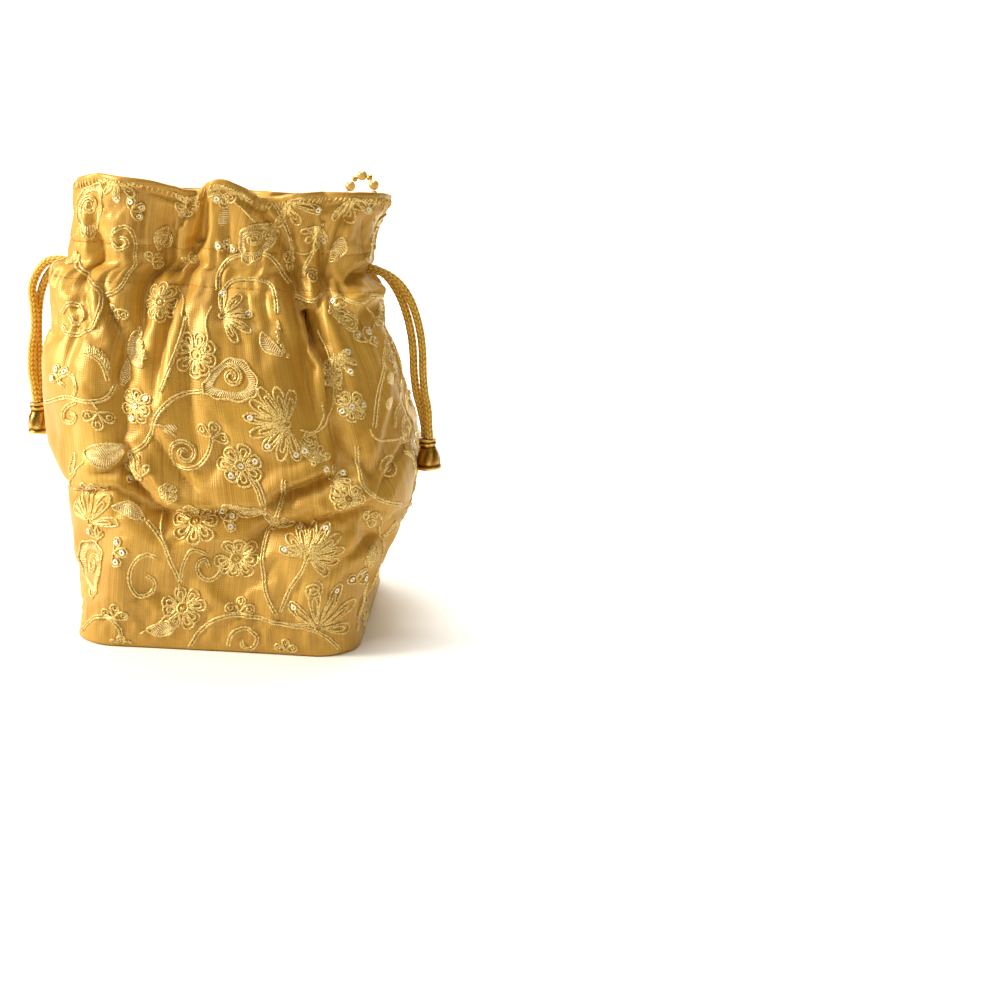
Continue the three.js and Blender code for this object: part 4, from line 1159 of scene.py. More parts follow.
BASE_STITCH_INSET = 4.0
BASE_STITCH_PITCH = 3.7
BASE_STITCH_LENGTH = 2.6
BASE_OUTLINE_POINTS = 160


def base_outline(inset):
    rises = np.array([0.0, 0.06])
    around = np.linspace(0, 1, BASE_OUTLINE_POINTS, endpoint=False)
    hem = cloth_point(around, np.full_like(around, rises[0]), CAD_CLOTH_WALL + CLEARANCE + inset)
    above = cloth_point(around, np.full_like(around, rises[1]), CAD_CLOTH_WALL + CLEARANCE + inset)
    return mix(hem, above, BASE_THICKNESS / level_of(rises[1]))[:, :2]


def base_plate():
    """The base's outline raised to a plate with rounded edges, and a pressed line on each face."""
    bm = bmesh.new()
    verts = [bm.verts.new((x * MM, y * MM, 0)) for x, y in base_outline(0)]
    for pair in zip(verts, verts[1:] + verts[:1]):
        bm.edges.new(pair)
    face = bmesh.ops.contextual_create(bm, geom=bm.edges)["faces"][0]
    raised = bmesh.ops.extrude_face_region(bm, geom=[face])["geom"]
    top = [item for item in raised if isinstance(item, bmesh.types.BMVert)]
    bmesh.ops.translate(bm, verts=top, vec=(0, 0, BASE_THICKNESS * MM))
    bmesh.ops.recalc_face_normals(bm, faces=bm.faces)
    rims = [edge for edge in bm.edges if abs(edge.verts[0].co.z - edge.verts[1].co.z) < 1e-6]
    bmesh.ops.bevel(
        bm, geom=rims, offset=0.9 * MM, offset_type="OFFSET", segments=3, profile=0.5,
        affect="EDGES", material=-1)
    plates = [face for face in bm.faces if len(face.verts) > 8]
    bmesh.ops.inset_region(bm, faces=plates, thickness=(BASE_STITCH_INSET - 1.6) * MM)
    groove = [face for face in bm.faces if len(face.verts) > 8]
    bmesh.ops.inset_region(bm, faces=groove, thickness=1.3 * MM, depth=-0.25 * MM)
    bmesh.ops.inset_region(bm, faces=groove, thickness=1.3 * MM, depth=0.25 * MM)
    uv_layer = bm.loops.layers.uv.new("UVMap")
    for face in bm.faces:
        face.smooth = True
        for loop in face.loops:
            loop[uv_layer].uv = loop.vert.co.xy
    # The base's silk is painted darker as shade
    return piece_from(bm, "base_plate", SHADED_BASE_SILK)


base = base_plate()


# Embroidery: couched cord and satin stitches, drawn flat in millimetres and laid on the cloth.
# Each motif grows from its root at (0, 0), upwards.

THREAD_RADIUS = 0.6
SATIN_RADIUS = 0.5
THREAD_STITCH = 1.05  # the distance from one turn of the cord to the next
SATIN_STEP = 2.4  # the longest straight run of a satin stitch before it bends with the cloth
THREAD_LIFT = 0.16  # how far the middle of a cord lies off the cloth
THREAD_SWELL = 0.17  # how much a cord swells and shrinks at each turn, as a share of its radius
SATIN_LIFT = 0.1
PAIR_HALF = 0.62  # how far each line of a pair lies from their middle
SEQUIN_DIAMETER = 2.9
SEQUIN_HOLE = 0.9
SEQUIN_LIFT = 0.75
chance = np.random.default_rng(7)


def turned(points, degrees):
    """Points turned clockwise round the root."""
    angle = math.radians(degrees)
    x, y = points[:, 0], points[:, 1]
    right = x * math.cos(angle) + y * math.sin(angle)
    up = y * math.cos(angle) - x * math.sin(angle)
    return np.stack([right, up], -1)


class Motif:
    """Lines of couched cord and of satin stitches, and the places of sequins, drawn flat."""

    def __init__(self, cords=()):
        self.cords = list(cords)
        self.satins = []
        self.sequins = []


def arc(radius, start, end, middle=(0.0, 0.0), steps=16):
    angle = np.radians(np.linspace(start, end, steps))
    return np.stack([middle[0] + radius * np.sin(angle), middle[1] + radius * np.cos(angle)], -1)


def loop(length, width, degrees=0.0, start=0.0):
    """A teardrop loop that leaves its root and comes back to it."""
    t = np.linspace(0, 2 * np.pi, 24)
    along = start + length * (1 - np.cos(t)) / 2
    side = width / 2 * np.sin(t) * (0.25 + 0.95 * np.sin(t / 2) ** 2)
    return turned(np.stack([side, along], -1), degrees)


def coil(radius, turns, hand=1):
    """A curl that leaves its root upwards and winds in, clockwise when hand is 1."""
    t = np.linspace(0, 1, int(14 * turns) + 8)
    angle = 2 * np.pi * turns * t
    r = radius * (1 - 0.84 * t**0.9)
    return np.stack([hand * (radius - r * np.cos(angle)), r * np.sin(angle)], -1)


def beside(line, distance):
    forward = np.gradient(line, axis=0)
    forward /= np.maximum(np.linalg.norm(forward, axis=1)[:, None], 1e-6)
    return line + distance * np.stack([-forward[:, 1], forward[:, 0]], -1)


def paired(line):
    return [beside(line, PAIR_HALF), beside(line, -PAIR_HALF)]


def petal(made, length, width, degrees, start):
    """A loop, and a shorter one inside it where there is room."""
    made.cords.append(loop(length, width, degrees, start))
    if width > 2.6:
        made.cords.append(loop(0.66 * length, 0.46 * width, degrees, start + 0.08 * length))


def rosette(size, petals=8, sequins=False):
    """Petal loops round a small ring, with a knot in the middle."""
    made = Motif()
    ring = 0.13 * size
    for k in range(petals):
        degrees = 360 * (k + 0.1 * chance.standard_normal()) / petals
        length = 0.37 * size * (1 + 0.08 * chance.standard_normal())
        petal(made, length, 2.5 * size / petals, degrees, ring)
        if sequins and k % 3 == 1:
            tip = turned(np.array([[0, ring + 0.66 * length]]), degrees)[0]
            made.sequins.append(tuple(tip))
    made.cords.append(arc(ring, 0, 360))
    if sequins:
        made.sequins.append((0.0, 0.0))
    else:
        made.cords.append(arc(0.3 * ring, 0, 300, steps=7))
    return made


def fan(length, petals=5, spread=150, sequins=2):
    """Long double loops that open like a hand, with sequins in some of their tips."""
    made = Motif()
    for k in range(petals):
        share = k / max(petals - 1, 1) - 0.5
        size = length * (1 - 0.4 * abs(share)) * (1 + 0.05 * chance.standard_normal())
        petal(made, size, min(0.3 * length, 2.1 * length * math.radians(spread) / petals / 2), share * spread,
              0.1 * length)
        if k % 2 == 0 and len(made.sequins) < sequins:
            made.sequins.append(tuple(turned(np.array([[0, 0.92 * size]]), share * spread)[0]))
    made.cords.append(arc(0.09 * length, 0, 360, steps=9))
    return made


def trio(size, sequins=False):
    """Three round loops on a point, often a sequin in each."""
    made = Motif()
    for degrees in (-68, 4, 72):
        made.cords.append(loop(0.62 * size, 0.46 * size, degrees))
        made.cords.append(arc(0.1 * size, 0, 330, turned(np.array([[0, 0.42 * size]]), degrees)[0], steps=7))
        if sequins:
            made.sequins.append(tuple(turned(np.array([[0, 0.42 * size]]), degrees)[0]))
    return made


def scroll(radius, turns=1.5, hand=1, pair=True):
    line = coil(radius, turns, hand)
    return Motif(paired(line) if pair else [line])


def satin_between(left, right, spacing=0.85):
    """Stitches side by side from one edge to the other."""
    length = max(lengths_along(left)[-1], lengths_along(right)[-1])
    count = max(3, int(length / spacing))
    return [np.array(pair) for pair in zip(evenly(left, count), evenly(right, count))]


def shell(width, height, hand=1, waves=9):
    """A paisley with a wavy corded edge, a band of satin stitch within it and a curl inside."""
    made = Motif()
    t = np.linspace(0, 2 * np.pi, 60)
    along = height * (1 - np.cos(t)) / 2
    side = width / 2 * np.sin(t) * (0.45 + 0.7 * np.sin(t / 2) ** 2) + hand * 0.1 * width * np.sin(t / 2) ** 2
    edge = np.stack([side, along], -1)
    middle = np.array([hand * -0.04 * width, 0.6 * height])
    wave = 1 + 0.045 * np.sin(waves * t)
    made.cords.append(middle + (edge - middle) * wave[:, None])
    curl_radius = 0.24 * width
    made.cords.extend(paired(coil(curl_radius, 1.5, hand) + middle - (hand * curl_radius, 0)))
    band_edges = [middle + (edge - middle) * share for share in (0.92, 0.64)]
    made.satins.extend(satin_between(*band_edges, 1.05))
    return made


def leaf(length, width, toothed=False):
    """A pointed leaf in satin stitch with a corded edge and a vein."""
    made = Motif()
    t = np.linspace(0, 1, 22)
    half = width / 2 * np.sin(np.pi * t) ** 0.8
    bend = 0.12 * length * np.sin(np.pi * t)
    tooth = 0.35 * np.abs(np.sin(7 * np.pi * t)) if toothed else 0
    left = np.stack([bend - half - tooth, length * t], -1)
    right = np.stack([bend + half + tooth, length * t], -1)
    vein = np.stack([bend, length * t], -1)
    made.cords.extend([left, right])
    made.satins.extend(satin_between(left[2:-3], vein[4:-1], 0.95))
    made.satins.extend(satin_between(right[2:-3], vein[4:-1], 0.95))
    return made


def comb(length, teeth=7):
    """A bent stem with a fringe of short stitches on one side."""
    t = np.linspace(0, 1, 20)
    stem = np.stack([0.22 * length * np.sin(np.pi * t), length * t], -1)
    made = Motif(paired(stem))
    for k in range(teeth):
        at = stem[3 + 2 * k]
        made.cords.append(loop(0.26 * length, 1.5, 62 - 5 * k) + at)
    return made


def chain(length, links=7, bend=0.0):
    """Small loops one after the other."""
    made = Motif()
    link = length / links
    for k in range(links):
        share = (k + 0.5) / links
        at = np.array([bend * math.sin(math.pi * share), k * link])
        made.cords.append(loop(1.02 * link, 0.55 * link, (-1) ** k * 12) + at)
    return made


def oval(width, height, spacing=0.9):
    """A small satin dot."""
    rows = max(3, int(height / spacing))
    made = Motif()
    for k in range(rows):
        y = (k + 0.5) / rows
        half = width * math.sqrt(y * (1 - y))
        made.satins.append(np.array([[-half, height * y - 0.25 * half], [half, height * y + 0.25 * half]]))
    return made


SHAPES = {
    "rosette": lambda size: rosette(size),
    "sequin_rosette": lambda size: rosette(size, 7, True),
    "small_rosette": lambda size: rosette(size, 6),
    "fan": lambda size: fan(size),
    "wide_fan": lambda size: fan(size, 9, 205, 3),
    "slim_fan": lambda size: fan(size, 4, 90, 1),
    "trio": lambda size: trio(size),
    "pearl_trio": lambda size: trio(size, True),
    "curl": lambda size: scroll(size, 1.4, 1),
    "curl_back": lambda size: scroll(size, 1.4, -1),
    "tight_curl": lambda size: scroll(size, 2.2, 1, False),
    "tight_curl_back": lambda size: scroll(size, 2.2, -1, False),
    "shell": lambda size: shell(0.82 * size, size),
    "shell_back": lambda size: shell(0.82 * size, size, -1),
    "leaf": lambda size: leaf(size, 0.42 * size),
    "toothed_leaf": lambda size: leaf(size, 0.5 * size, True),
    "comb": lambda size: comb(size),
    "chain": lambda size: chain(size),
    "bent_chain": lambda size: chain(size, 8, 0.15 * size),
    "dot": lambda size: oval(0.62 * size, size),
}

# Motifs on the front: the pixel of the photo that the root lies under, the size in
# millimetres, and how far the motif is turned clockwise from upright, in degrees.
Placed = namedtuple("Placed", "shape x y size turn")
FRONT_MOTIFS = [
    # the ruffle above the drawcords
    Placed("shell", 88, 238, 27, -4),
    Placed("fan", 120, 172, 13, 180),
    Placed("pearl_trio", 131, 210, 10, 60),
    Placed("small_rosette", 76, 258, 8, 0),
    Placed("sequin_rosette", 224, 190, 15, 10),
    Placed("rosette", 246, 188, 13, 0),
    Placed("dot", 222, 226, 8, 0),
    Placed("pearl_trio", 226, 250, 9, 0),
    Placed("shell", 247, 264, 24, 8),
    Placed("tight_curl", 262, 234, 4.5, 0),
    Placed("fan", 288, 201, 20, 112),
    Placed("trio", 286, 262, 9, 60),
    Placed("tight_curl_back", 372, 208, 7, 20),
    Placed("fan", 352, 196, 16, 120),
    Placed("tight_curl", 305, 276, 4.5, 0),
    Placed("slim_fan", 322, 224, 12, 200),
    Placed("leaf", 330, 262, 14, 20),
    Placed("sequin_rosette", 188, 205, 15, 0),
    Placed("leaf", 168, 226, 13, 200),
    Placed("trio", 152, 262, 10, 40),
    Placed("trio", 190, 262, 9, 0),
    Placed("curl", 155, 240, 5, 0),
    # just below the drawcords
    Placed("rosette", 160, 302, 21, 0),
    Placed("trio", 118, 309, 11, 200),
    Placed("comb", 108, 381, 19, 310),
    Placed("trio", 98, 413, 13, 180),
    Placed("pearl_trio", 59, 378, 11, 330),
    Placed("toothed_leaf", 136, 330, 19, 155),
    Placed("chain", 140, 326, 17, 150),
    Placed("rosette", 196, 355, 23, 12),
    Placed("shell", 203, 391, 28, 66),
    Placed("sequin_rosette", 136, 406, 17, 0),
    Placed("leaf", 122, 386, 13, 8),
    Placed("curl", 171, 452, 7, 0),
    Placed("trio", 212, 438, 13, 20),
    Placed("dot", 163, 431, 7, 70),
    Placed("toothed_leaf", 84, 452, 22, 80),
    Placed("leaf", 70, 474, 12, 20),
    Placed("fan", 222, 316, 16, 80),
    Placed("bent_chain", 279, 320, 20, 178),
    Placed("leaf", 262, 332, 15, 150),
    Placed("slim_fan", 330, 312, 11, 80),
    Placed("curl", 346, 312, 5, 90),
    Placed("pearl_trio", 368, 342, 13, 20),
    Placed("slim_fan", 340, 388, 12, 330),
    Placed("wide_fan", 287, 424, 19, 278),
    Placed("curl_back", 300, 440, 5, 175),
    Placed("slim_fan", 314, 464, 11, 20),
    Placed("sequin_rosette", 241, 466, 21, 20),
    Placed("sequin_rosette", 352, 407, 16, 40),
    Placed("dot", 389, 384, 9, 60),
    Placed("dot", 387, 409, 9, 65),
    Placed("dot", 405, 414, 8, 50),
    Placed("tight_curl", 380, 470, 7.5, 0),
    Placed("fan", 336, 356, 11, 150),
    Placed("trio", 392, 340, 10, 0),
    # the lower body on the left
    Placed("fan", 90, 522, 21, 6),
    Placed("leaf", 146, 521, 18, 288),
    Placed("rosette", 196, 521, 24, 0),
    Placed("pearl_trio", 224, 520, 11, 60),
    Placed("shell_back", 92, 598, 28, -5),
    Placed("pearl_trio", 114, 552, 12, 80),
    Placed("trio", 114, 618, 12, 0),
    Placed("rosette", 183, 608, 21, 30),
    Placed("leaf", 146, 630, 17, 70),
    Placed("slim_fan", 97, 540, 8, 0),
    Placed("fan", 140, 478, 13, 330),
    Placed("trio", 100, 488, 9, 0),
    Placed("small_rosette", 168, 494, 10, 0),
    Placed("trio", 120, 646, 9, 0),
    # the lower body on the right
    Placed("rosette", 237, 558, 22, 0),
    Placed("toothed_leaf", 222, 506, 20, 110),
    Placed("wide_fan", 308, 557, 17, 25),
    Placed("leaf", 306, 558, 11, 290),
    Placed("tight_curl", 317, 580, 5, 100),
    Placed("rosette", 349, 499, 17, 0),
    Placed("fan", 330, 478, 10, 60),
    Placed("pearl_trio", 357, 582, 13, 10),
    Placed("fan", 318, 628, 21, 24),
    Placed("trio", 240, 612, 12, 0),
    Placed("slim_fan", 274, 528, 12, 20),
    Placed("trio", 286, 650, 9, 0),
    Placed("fan", 366, 628, 12, 20),
    Placed("small_rosette", 372, 556, 10, 0),
    Placed("trio", 366, 520, 10, 40),
    Placed("leaf", 384, 540, 12, 10),
]

# Vines and scrolls on the front, as pixels of the photo; a pair is two lines side by side.
Vine = namedtuple("Vine", "pair line")
FRONT_VINES = [
    Vine(True, [(106, 296), (120, 288), (128, 274), (135, 258), (135, 241), (129, 228), (118, 228),
                (112, 238), (118, 249), (126, 246), (126, 239), (120, 238)]),
    Vine(True, [(78, 262), (88, 274), (99, 290), (100, 308), (92, 328), (78, 335), (66, 332), (62, 325)]),
    Vine(True, [(62, 313), (69, 304), (80, 306), (83, 318), (75, 324), (70, 316)]),
    Vine(True, [(218, 291), (222, 268), (241, 255), (267, 255), (280, 268), (290, 283)]),
    Vine(True, [(221, 295), (231, 282), (254, 279), (270, 284), (276, 300), (277, 314)]),
    Vine(True, [(258, 178), (270, 200), (284, 222), (292, 244), (293, 262)]),
    Vine(False, [(234, 202), (246, 212), (256, 222)]),
    Vine(True, [(326, 235), (316, 248), (308, 262), (303, 276)]),
    Vine(False, [(288, 250), (304, 254), (322, 244)]),
    Vine(True, [(294, 296), (314, 301), (323, 292)]),
    Vine(True, [(46, 402), (69, 397), (92, 402), (108, 397), (116, 384)]),
    Vine(True, [(72, 399), (76, 388), (73, 376), (64, 374), (59, 381), (65, 386)]),
    Vine(True, [(76, 402), (65, 409), (64, 419), (71, 423), (76, 416), (70, 412)]),
    Vine(False, [(92, 402), (98, 410)]),
    Vine(True, [(203, 391), (176, 397), (158, 414), (150, 436), (140, 448), (128, 452)]),
    Vine(True, [(186, 316), (180, 340), (168, 372), (160, 392)]),
    Vine(False, [(176, 286), (184, 300), (182, 316)]),
    Vine(True, [(212, 436), (209, 452), (198, 466), (184, 468), (173, 461), (171, 450)]),
    Vine(False, [(150, 424), (162, 426), (176, 436)]),
    Vine(False, [(212, 306), (206, 322), (208, 340), (204, 356)]),
    Vine(False, [(318, 330), (328, 352), (334, 380), (332, 408), (320, 430), (302, 438)]),
    Vine(False, [(300, 430), (314, 432), (324, 416), (322, 402)]),
    Vine(False, [(318, 442), (317, 464)]),
    Vine(True, [(385, 334), (383, 360), (378, 396), (374, 428)]),
    Vine(True, [(404, 352), (402, 380), (397, 410), (394, 428)]),
    Vine(False, [(370, 429), (375, 438), (392, 440), (406, 434)]),
    Vine(True, [(357, 446), (358, 466), (363, 485), (378, 499), (401, 505)]),
    Vine(True, [(329, 303), (340, 296), (352, 302), (362, 303), (372, 296), (386, 298)]),
    Vine(False, [(366, 306), (374, 318), (372, 332)]),
    Vine(True, [(147, 521), (162, 540), (170, 560), (180, 582)]),
    Vine(False, [(163, 508), (161, 530), (167, 550)]),
    Vine(True, [(157, 557), (144, 555), (132, 566), (130, 584), (139, 596), (152, 592), (154, 580),
                (146, 575)]),
    Vine(True, [(180, 583), (184, 562), (192, 550), (206, 554)]),
    Vine(True, [(224, 562), (219, 574), (209, 580), (199, 573), (198, 563), (205, 559), (209, 567)]),
    Vine(True, [(82, 630), (95, 617), (110, 618), (119, 628), (122, 642)]),
    Vine(False, [(180, 583), (176, 600), (160, 622), (140, 634)]),
    Vine(True, [(188, 649), (202, 629), (228, 616), (261, 618), (290, 625), (313, 624)]),
    Vine(True, [(290, 626), (313, 630), (329, 639), (340, 650)]),
    Vine(True, [(228, 646), (233, 633), (247, 628), (257, 637), (252, 648), (243, 646), (242, 639)]),
    Vine(True, [(277, 616), (266, 593), (262, 563), (267, 534), (280, 506), (284, 480)]),
    Vine(True, [(280, 612), (290, 589), (302, 571), (308, 557)]),
    Vine(False, [(257, 480), (264, 496), (268, 520)]),
    Vine(False, [(378, 512), (380, 537), (374, 580), (366, 612)]),
    Vine(True, [(372, 584), (368, 598), (360, 612), (356, 632)]),
    Vine(False, [(84, 462), (76, 470), (72, 488), (78, 504)]),
    Vine(True, [(250, 478), (258, 492), (262, 506)]),
    Vine(False, [(330, 486), (340, 490)]),
]

# Motifs on the sides and the back: shares of the way round and of the rise, the size in
# millimetres and the turn in degrees. The back repeats one group, BACK_GROUPS times.
Spot = namedtuple("Spot", "shape around rise size turn")
BACK_GROUP = [
    Spot("rosette", 0.03, 0.1, 18, 0),
    Spot("shell", 0.075, 0.2, 26, 20),
    Spot("fan", 0.015, 0.27, 18, -20),
    Spot("trio", 0.055, 0.07, 10, 40),
    Spot("curl", 0.02, 0.19, 8, 0),
    Spot("sequin_rosette", 0.05, 0.42, 17, 0),
    Spot("toothed_leaf", 0.085, 0.36, 21, 30),
    Spot("curl_back", 0.01, 0.47, 8.5, 0),
    Spot("pearl_trio", 0.085, 0.5, 12, 10),
    Spot("comb", 0.0, 0.36, 18, 30),
    Spot("wide_fan", 0.03, 0.6, 15, 10),
    Spot("shell_back", 0.085, 0.58, 24, -20),
    Spot("trio", 0.005, 0.7, 11, 0),
    Spot("rosette", 0.06, 0.74, 17, 20),
    Spot("curl", 0.09, 0.78, 6.5, 0),
    Spot("fan", 0.035, 0.84, 16, 10),
    Spot("trio", 0.075, 0.91, 10, 30),
    Spot("sequin_rosette", 0.02, 0.95, 12, 0),
    Spot("leaf", 0.05, 0.93, 12, 300),
    Spot("chain", 0.065, 0.62, 18, 0),
    Spot("dot", 0.04, 0.34, 7, 60),
    Spot("trio", 0.09, 0.06, 10, -20),
]
BACK_GROUPS = 6
BACK_START, BACK_END = 0.462, 1.012
BACK_VINES = [
    Vine(True, [(0.0, 0.02), (0.02, 0.06), (0.055, 0.1), (0.065, 0.16), (0.075, 0.2)]),
    Vine(True, [(0.065, 0.14), (0.04, 0.2), (0.02, 0.27)]),
    Vine(True, [(0.085, 0.02), (0.1, 0.08), (0.09, 0.16), (0.1, 0.28), (0.085, 0.36)]),
    Vine(False, [(0.1, 0.28), (0.08, 0.3), (0.055, 0.36), (0.05, 0.42)]),
    Vine(True, [(0.0, 0.36), (0.02, 0.42), (0.03, 0.5), (0.03, 0.6)]),
    Vine(True, [(0.03, 0.5), (0.06, 0.52), (0.085, 0.58)]),
    Vine(False, [(0.03, 0.66), (0.02, 0.72), (0.04, 0.78), (0.035, 0.84)]),
    Vine(True, [(0.07, 0.68), (0.085, 0.74), (0.075, 0.82), (0.08, 0.9), (0.09, 0.97)]),
    Vine(False, [(0.0, 0.84), (0.015, 0.88), (0.02, 0.95)]),
]


# How high up the cloth threads and sequins may lie, as shares of its height
LOWEST_STITCH, HIGHEST_STITCH = 0.006, 0.99
LOWEST_SEQUIN, HIGHEST_SEQUIN = 0.012, 0.965


def smooth_line(points):
    return centripetal(np.asarray(points, float), 10)


class Embroidery:
    """Threads and sequins gathered as places on the cloth, (way round, rise)."""

    def __init__(self):
        self.cords = []
        self.satins = []
        self.sequins = []

    def place(self, motif, around, rise, degrees):
        round_run, up_run = silk.scale_at(around, rise)
        scale = np.array([1 / round_run, 1 / up_run])
        root = np.array([around, rise])
        for mine, theirs in ((self.cords, motif.cords), (self.satins, motif.satins)):
            mine.extend(turned(line, degrees) * scale + root for line in theirs)
        for spot in motif.sequins:
            place = (turned(np.array([spot]), degrees) * scale + root)[0]
            if LOWEST_SEQUIN < place[1] < HIGHEST_SEQUIN:
                self.sequins.append(place)

    def vine(self, line, pair):
        """A vine through places on the cloth."""
        middle = line.mean(axis=0)
        scale = np.array(silk.scale_at(*middle))
        flat = smooth_line(line * scale)
        lines = paired(flat) if pair else [flat]
        self.cords.extend(made / scale for made in lines)


def laid(lines, step):
    """Lines of places on the cloth as points and normals at even steps, cut at the cloth's edges."""
    for shares in lines:
        inside = (shares[:, 1] > LOWEST_STITCH) & (shares[:, 1] < HIGHEST_STITCH)
        runs = np.split(np.arange(len(shares)), np.flatnonzero(np.diff(inside.astype(int))) + 1)
        for run in runs:
            if len(run) < 2 or not inside[run[0]]:
                continue
            along = lengths_along(silk.at(shares[run])[0])
            wanted = np.linspace(0, along[-1], max(2, int(round(along[-1] / step)) + 1))
            places = [np.interp(wanted, along, shares[run][:, k]) for k in range(2)]
            yield silk.at(np.stack(places, -1))


def threads_piece(name, runs, radius, lift, bumps, material):
    """Round threads along runs of points and normals, lifted off them; bumps is how much each
    turn of a cord swells."""
    curve_data = bpy.data.curves.new(name, "CURVE")
    curve_data.dimensions = "3D"
    curve_data.bevel_depth = radius * MM
    curve_data.bevel_resolution = 1
    curve_data.use_fill_caps = True
    for points, normals in runs:
        places = (points + lift * normals) * MM
        count = len(places)
        spline = curve_data.splines.new("POLY")
        spline.points.add(count - 1)
        spline.points.foreach_set("co", np.hstack([places, np.ones((count, 1))]).ravel())
        swell = 1 + bumps * np.where(np.arange(count) % 2, 1, -1)
        swell[0] = swell[-1] = 0.55
        spline.points.foreach_set("radius", swell)
        spline.use_smooth = True
    drawn = bpy.data.objects.new(name, curve_data)
    bpy.context.scene.collection.objects.link(drawn)
    bpy.context.view_layer.update()
    mesh = bpy.data.meshes.new_from_object(drawn.evaluated_get(bpy.context.evaluated_depsgraph_get()))
    mesh.name = name
    bpy.data.objects.remove(drawn)
    mesh.materials.clear()
    mesh.materials.append(material)
    piece = bpy.data.objects.new(name, mesh)
    bpy.context.scene.collection.objects.link(piece)
    return piece


def sequins_piece(name, spots):
    """Flat holed discs, each held against the cloth and tilted a little."""
    bm = bmesh.new()
    relief_layer = bm.verts.layers.float.new("relief")
    outer, hole = SEQUIN_DIAMETER / 2 * MM, SEQUIN_HOLE / 2 * MM
    middle = (outer + hole) / 2
    section = [(hole, 0.1), (middle, -0.05), (outer, 0.15), (outer, 0.27), (middle, 0.08), (hole, 0.22)]
    places, normals = silk.at(np.array(spots))
    for place, normal in zip(places, normals):
        ring = [bm.verts.new((r, 0, z * MM)) for r, z in section]
        edges = [bm.edges.new(pair) for pair in zip(ring, ring[1:] + ring[:1])]
        before = set(bm.verts) - set(ring)
        bmesh.ops.spin(
            bm, geom=ring + edges, cent=(0, 0, 0), axis=(0, 0, 1), angle=2 * math.pi, steps=12,
            use_merge=True)
        made = [vert for vert in bm.verts if vert not in before]
        tilt = Vector(normal) + 0.1 * Vector(chance.standard_normal(3))
        turn = tilt.to_track_quat("Z", "Y").to_matrix().to_4x4()
        at = Vector((place + SEQUIN_LIFT * normal) * MM)
        bmesh.ops.transform(bm, verts=made, matrix=Matrix.Translation(at) @ turn)
        for vert in made:
            vert[relief_layer] = 1.0
    for face in bm.faces:
        face.smooth = True
    bmesh.ops.recalc_face_normals(bm, faces=bm.faces)
    return piece_from(bm, name, SEQUIN)


front_work = Embroidery()
for placed in FRONT_MOTIFS:
    around, rise = silk.under(placed.x, placed.y)
    front_work.place(SHAPES[placed.shape](placed.size), around, rise, placed.turn)
for vine in FRONT_VINES:
    front_work.vine(np.array([silk.under(x, y) for x, y in vine.line]), vine.pair)

GROUP_DRAWN = 0.1  # the share of the way round that a group is drawn for
group_width = (BACK_END - BACK_START) / BACK_GROUPS
side_works = {"right": Embroidery(), "left": Embroidery()}
for k in range(BACK_GROUPS):
    work = side_works["right" if k < BACK_GROUPS / 2 else "left"]
    start = BACK_START + k * group_width
    for spot in BACK_GROUP:
        around = start + spot.around / GROUP_DRAWN * group_width
        work.place(SHAPES[spot.shape](spot.size), around, spot.rise, spot.turn if k % 2 else -spot.turn)
    for vine in BACK_VINES:
        line = np.array(vine.line)
        line[:, 0] = start + line[:, 0] / GROUP_DRAWN * group_width
        work.vine(line, vine.pair)

embroidery = []
works = {"front": front_work, "back_right": side_works["right"], "back_left": side_works["left"]}
for part_name, work in works.items():
    embroidery.append(threads_piece(
        f"corded_vines_{part_name}", laid(work.cords, THREAD_STITCH), THREAD_RADIUS, THREAD_LIFT,
        THREAD_SWELL, ZARI))
    embroidery.append(threads_piece(
        f"satin_stitches_{part_name}", laid(work.satins, SATIN_STEP), SATIN_RADIUS, SATIN_LIFT,
        0.0, SATIN_THREAD))
all_sequins = [spot for work in works.values() for spot in work.sequins]
embroidery.append(sequins_piece("sequins", all_sequins))


# Plain sewing: the channel's two stitch lines, the whipped rim, the openings' edges and the base

def channel_stitches(pitch=3.3, length=2.3):
    for rise in CHANNEL_STITCHES:
        along = lengths_along(silk.at(np.stack([np.linspace(0, 1, 600), np.full(600, rise)], -1))[0])
        count = int(along[-1] / pitch)
        starts = np.interp(np.arange(count) * pitch, along, np.linspace(0, 1, 600))
        ends = np.interp(np.arange(count) * pitch + length, along, np.linspace(0, 1, 600))
        for start, end in zip(starts, ends):
            yield np.array([[start, rise], [end, rise]])


def whipped_rim(pitch=2.4):
    girth = lengths_along(silk.at(np.stack([np.linspace(0, 1, 600), np.full(600, 0.985)], -1))[0])[-1]
    count = int(girth / pitch)
    for k in range(count):
        lean = 0.35 + 0.15 * chance.standard_normal()
        yield np.array([[k / count, 0.974], [(k + 0.5 * lean) / count, 0.982], [(k + lean) / count, 0.9895]])


def opening_stitches(side, count=26):
    seam = 0 if side < 0 else 0.5
    rise = (cord_level(side) - FOOT) / CLOTH_HEIGHT
    round_run, up_run = silk.scale_at(seam, rise)
    for k in range(count):
        angle = 2 * math.pi * k / count
        ray = np.array([math.cos(angle), math.sin(angle)])
        reach = np.array([SLOT_HALF_WIDTH, SLOT_HALF_HEIGHT])
        inner, outer = ray * (reach + 0.1), ray * (reach + 1.9)
        yield np.array([seam, rise]) + np.array([inner, outer]) / (round_run, up_run)


def base_stitches():
    line = base_outline(BASE_STITCH_INSET)
    line = np.vstack([line, line[:1]])
    along = lengths_along(line)
    for k in range(int(along[-1] / BASE_STITCH_PITCH)):
        wanted = k * BASE_STITCH_PITCH + np.linspace(0, BASE_STITCH_LENGTH, 3)
        places = np.stack([np.interp(wanted, along, line[:, axis]) for axis in range(2)], -1)
        yield np.hstack([places, np.full((3, 1), 0.36)]), np.tile([0.0, 0.0, -1.0], (3, 1))


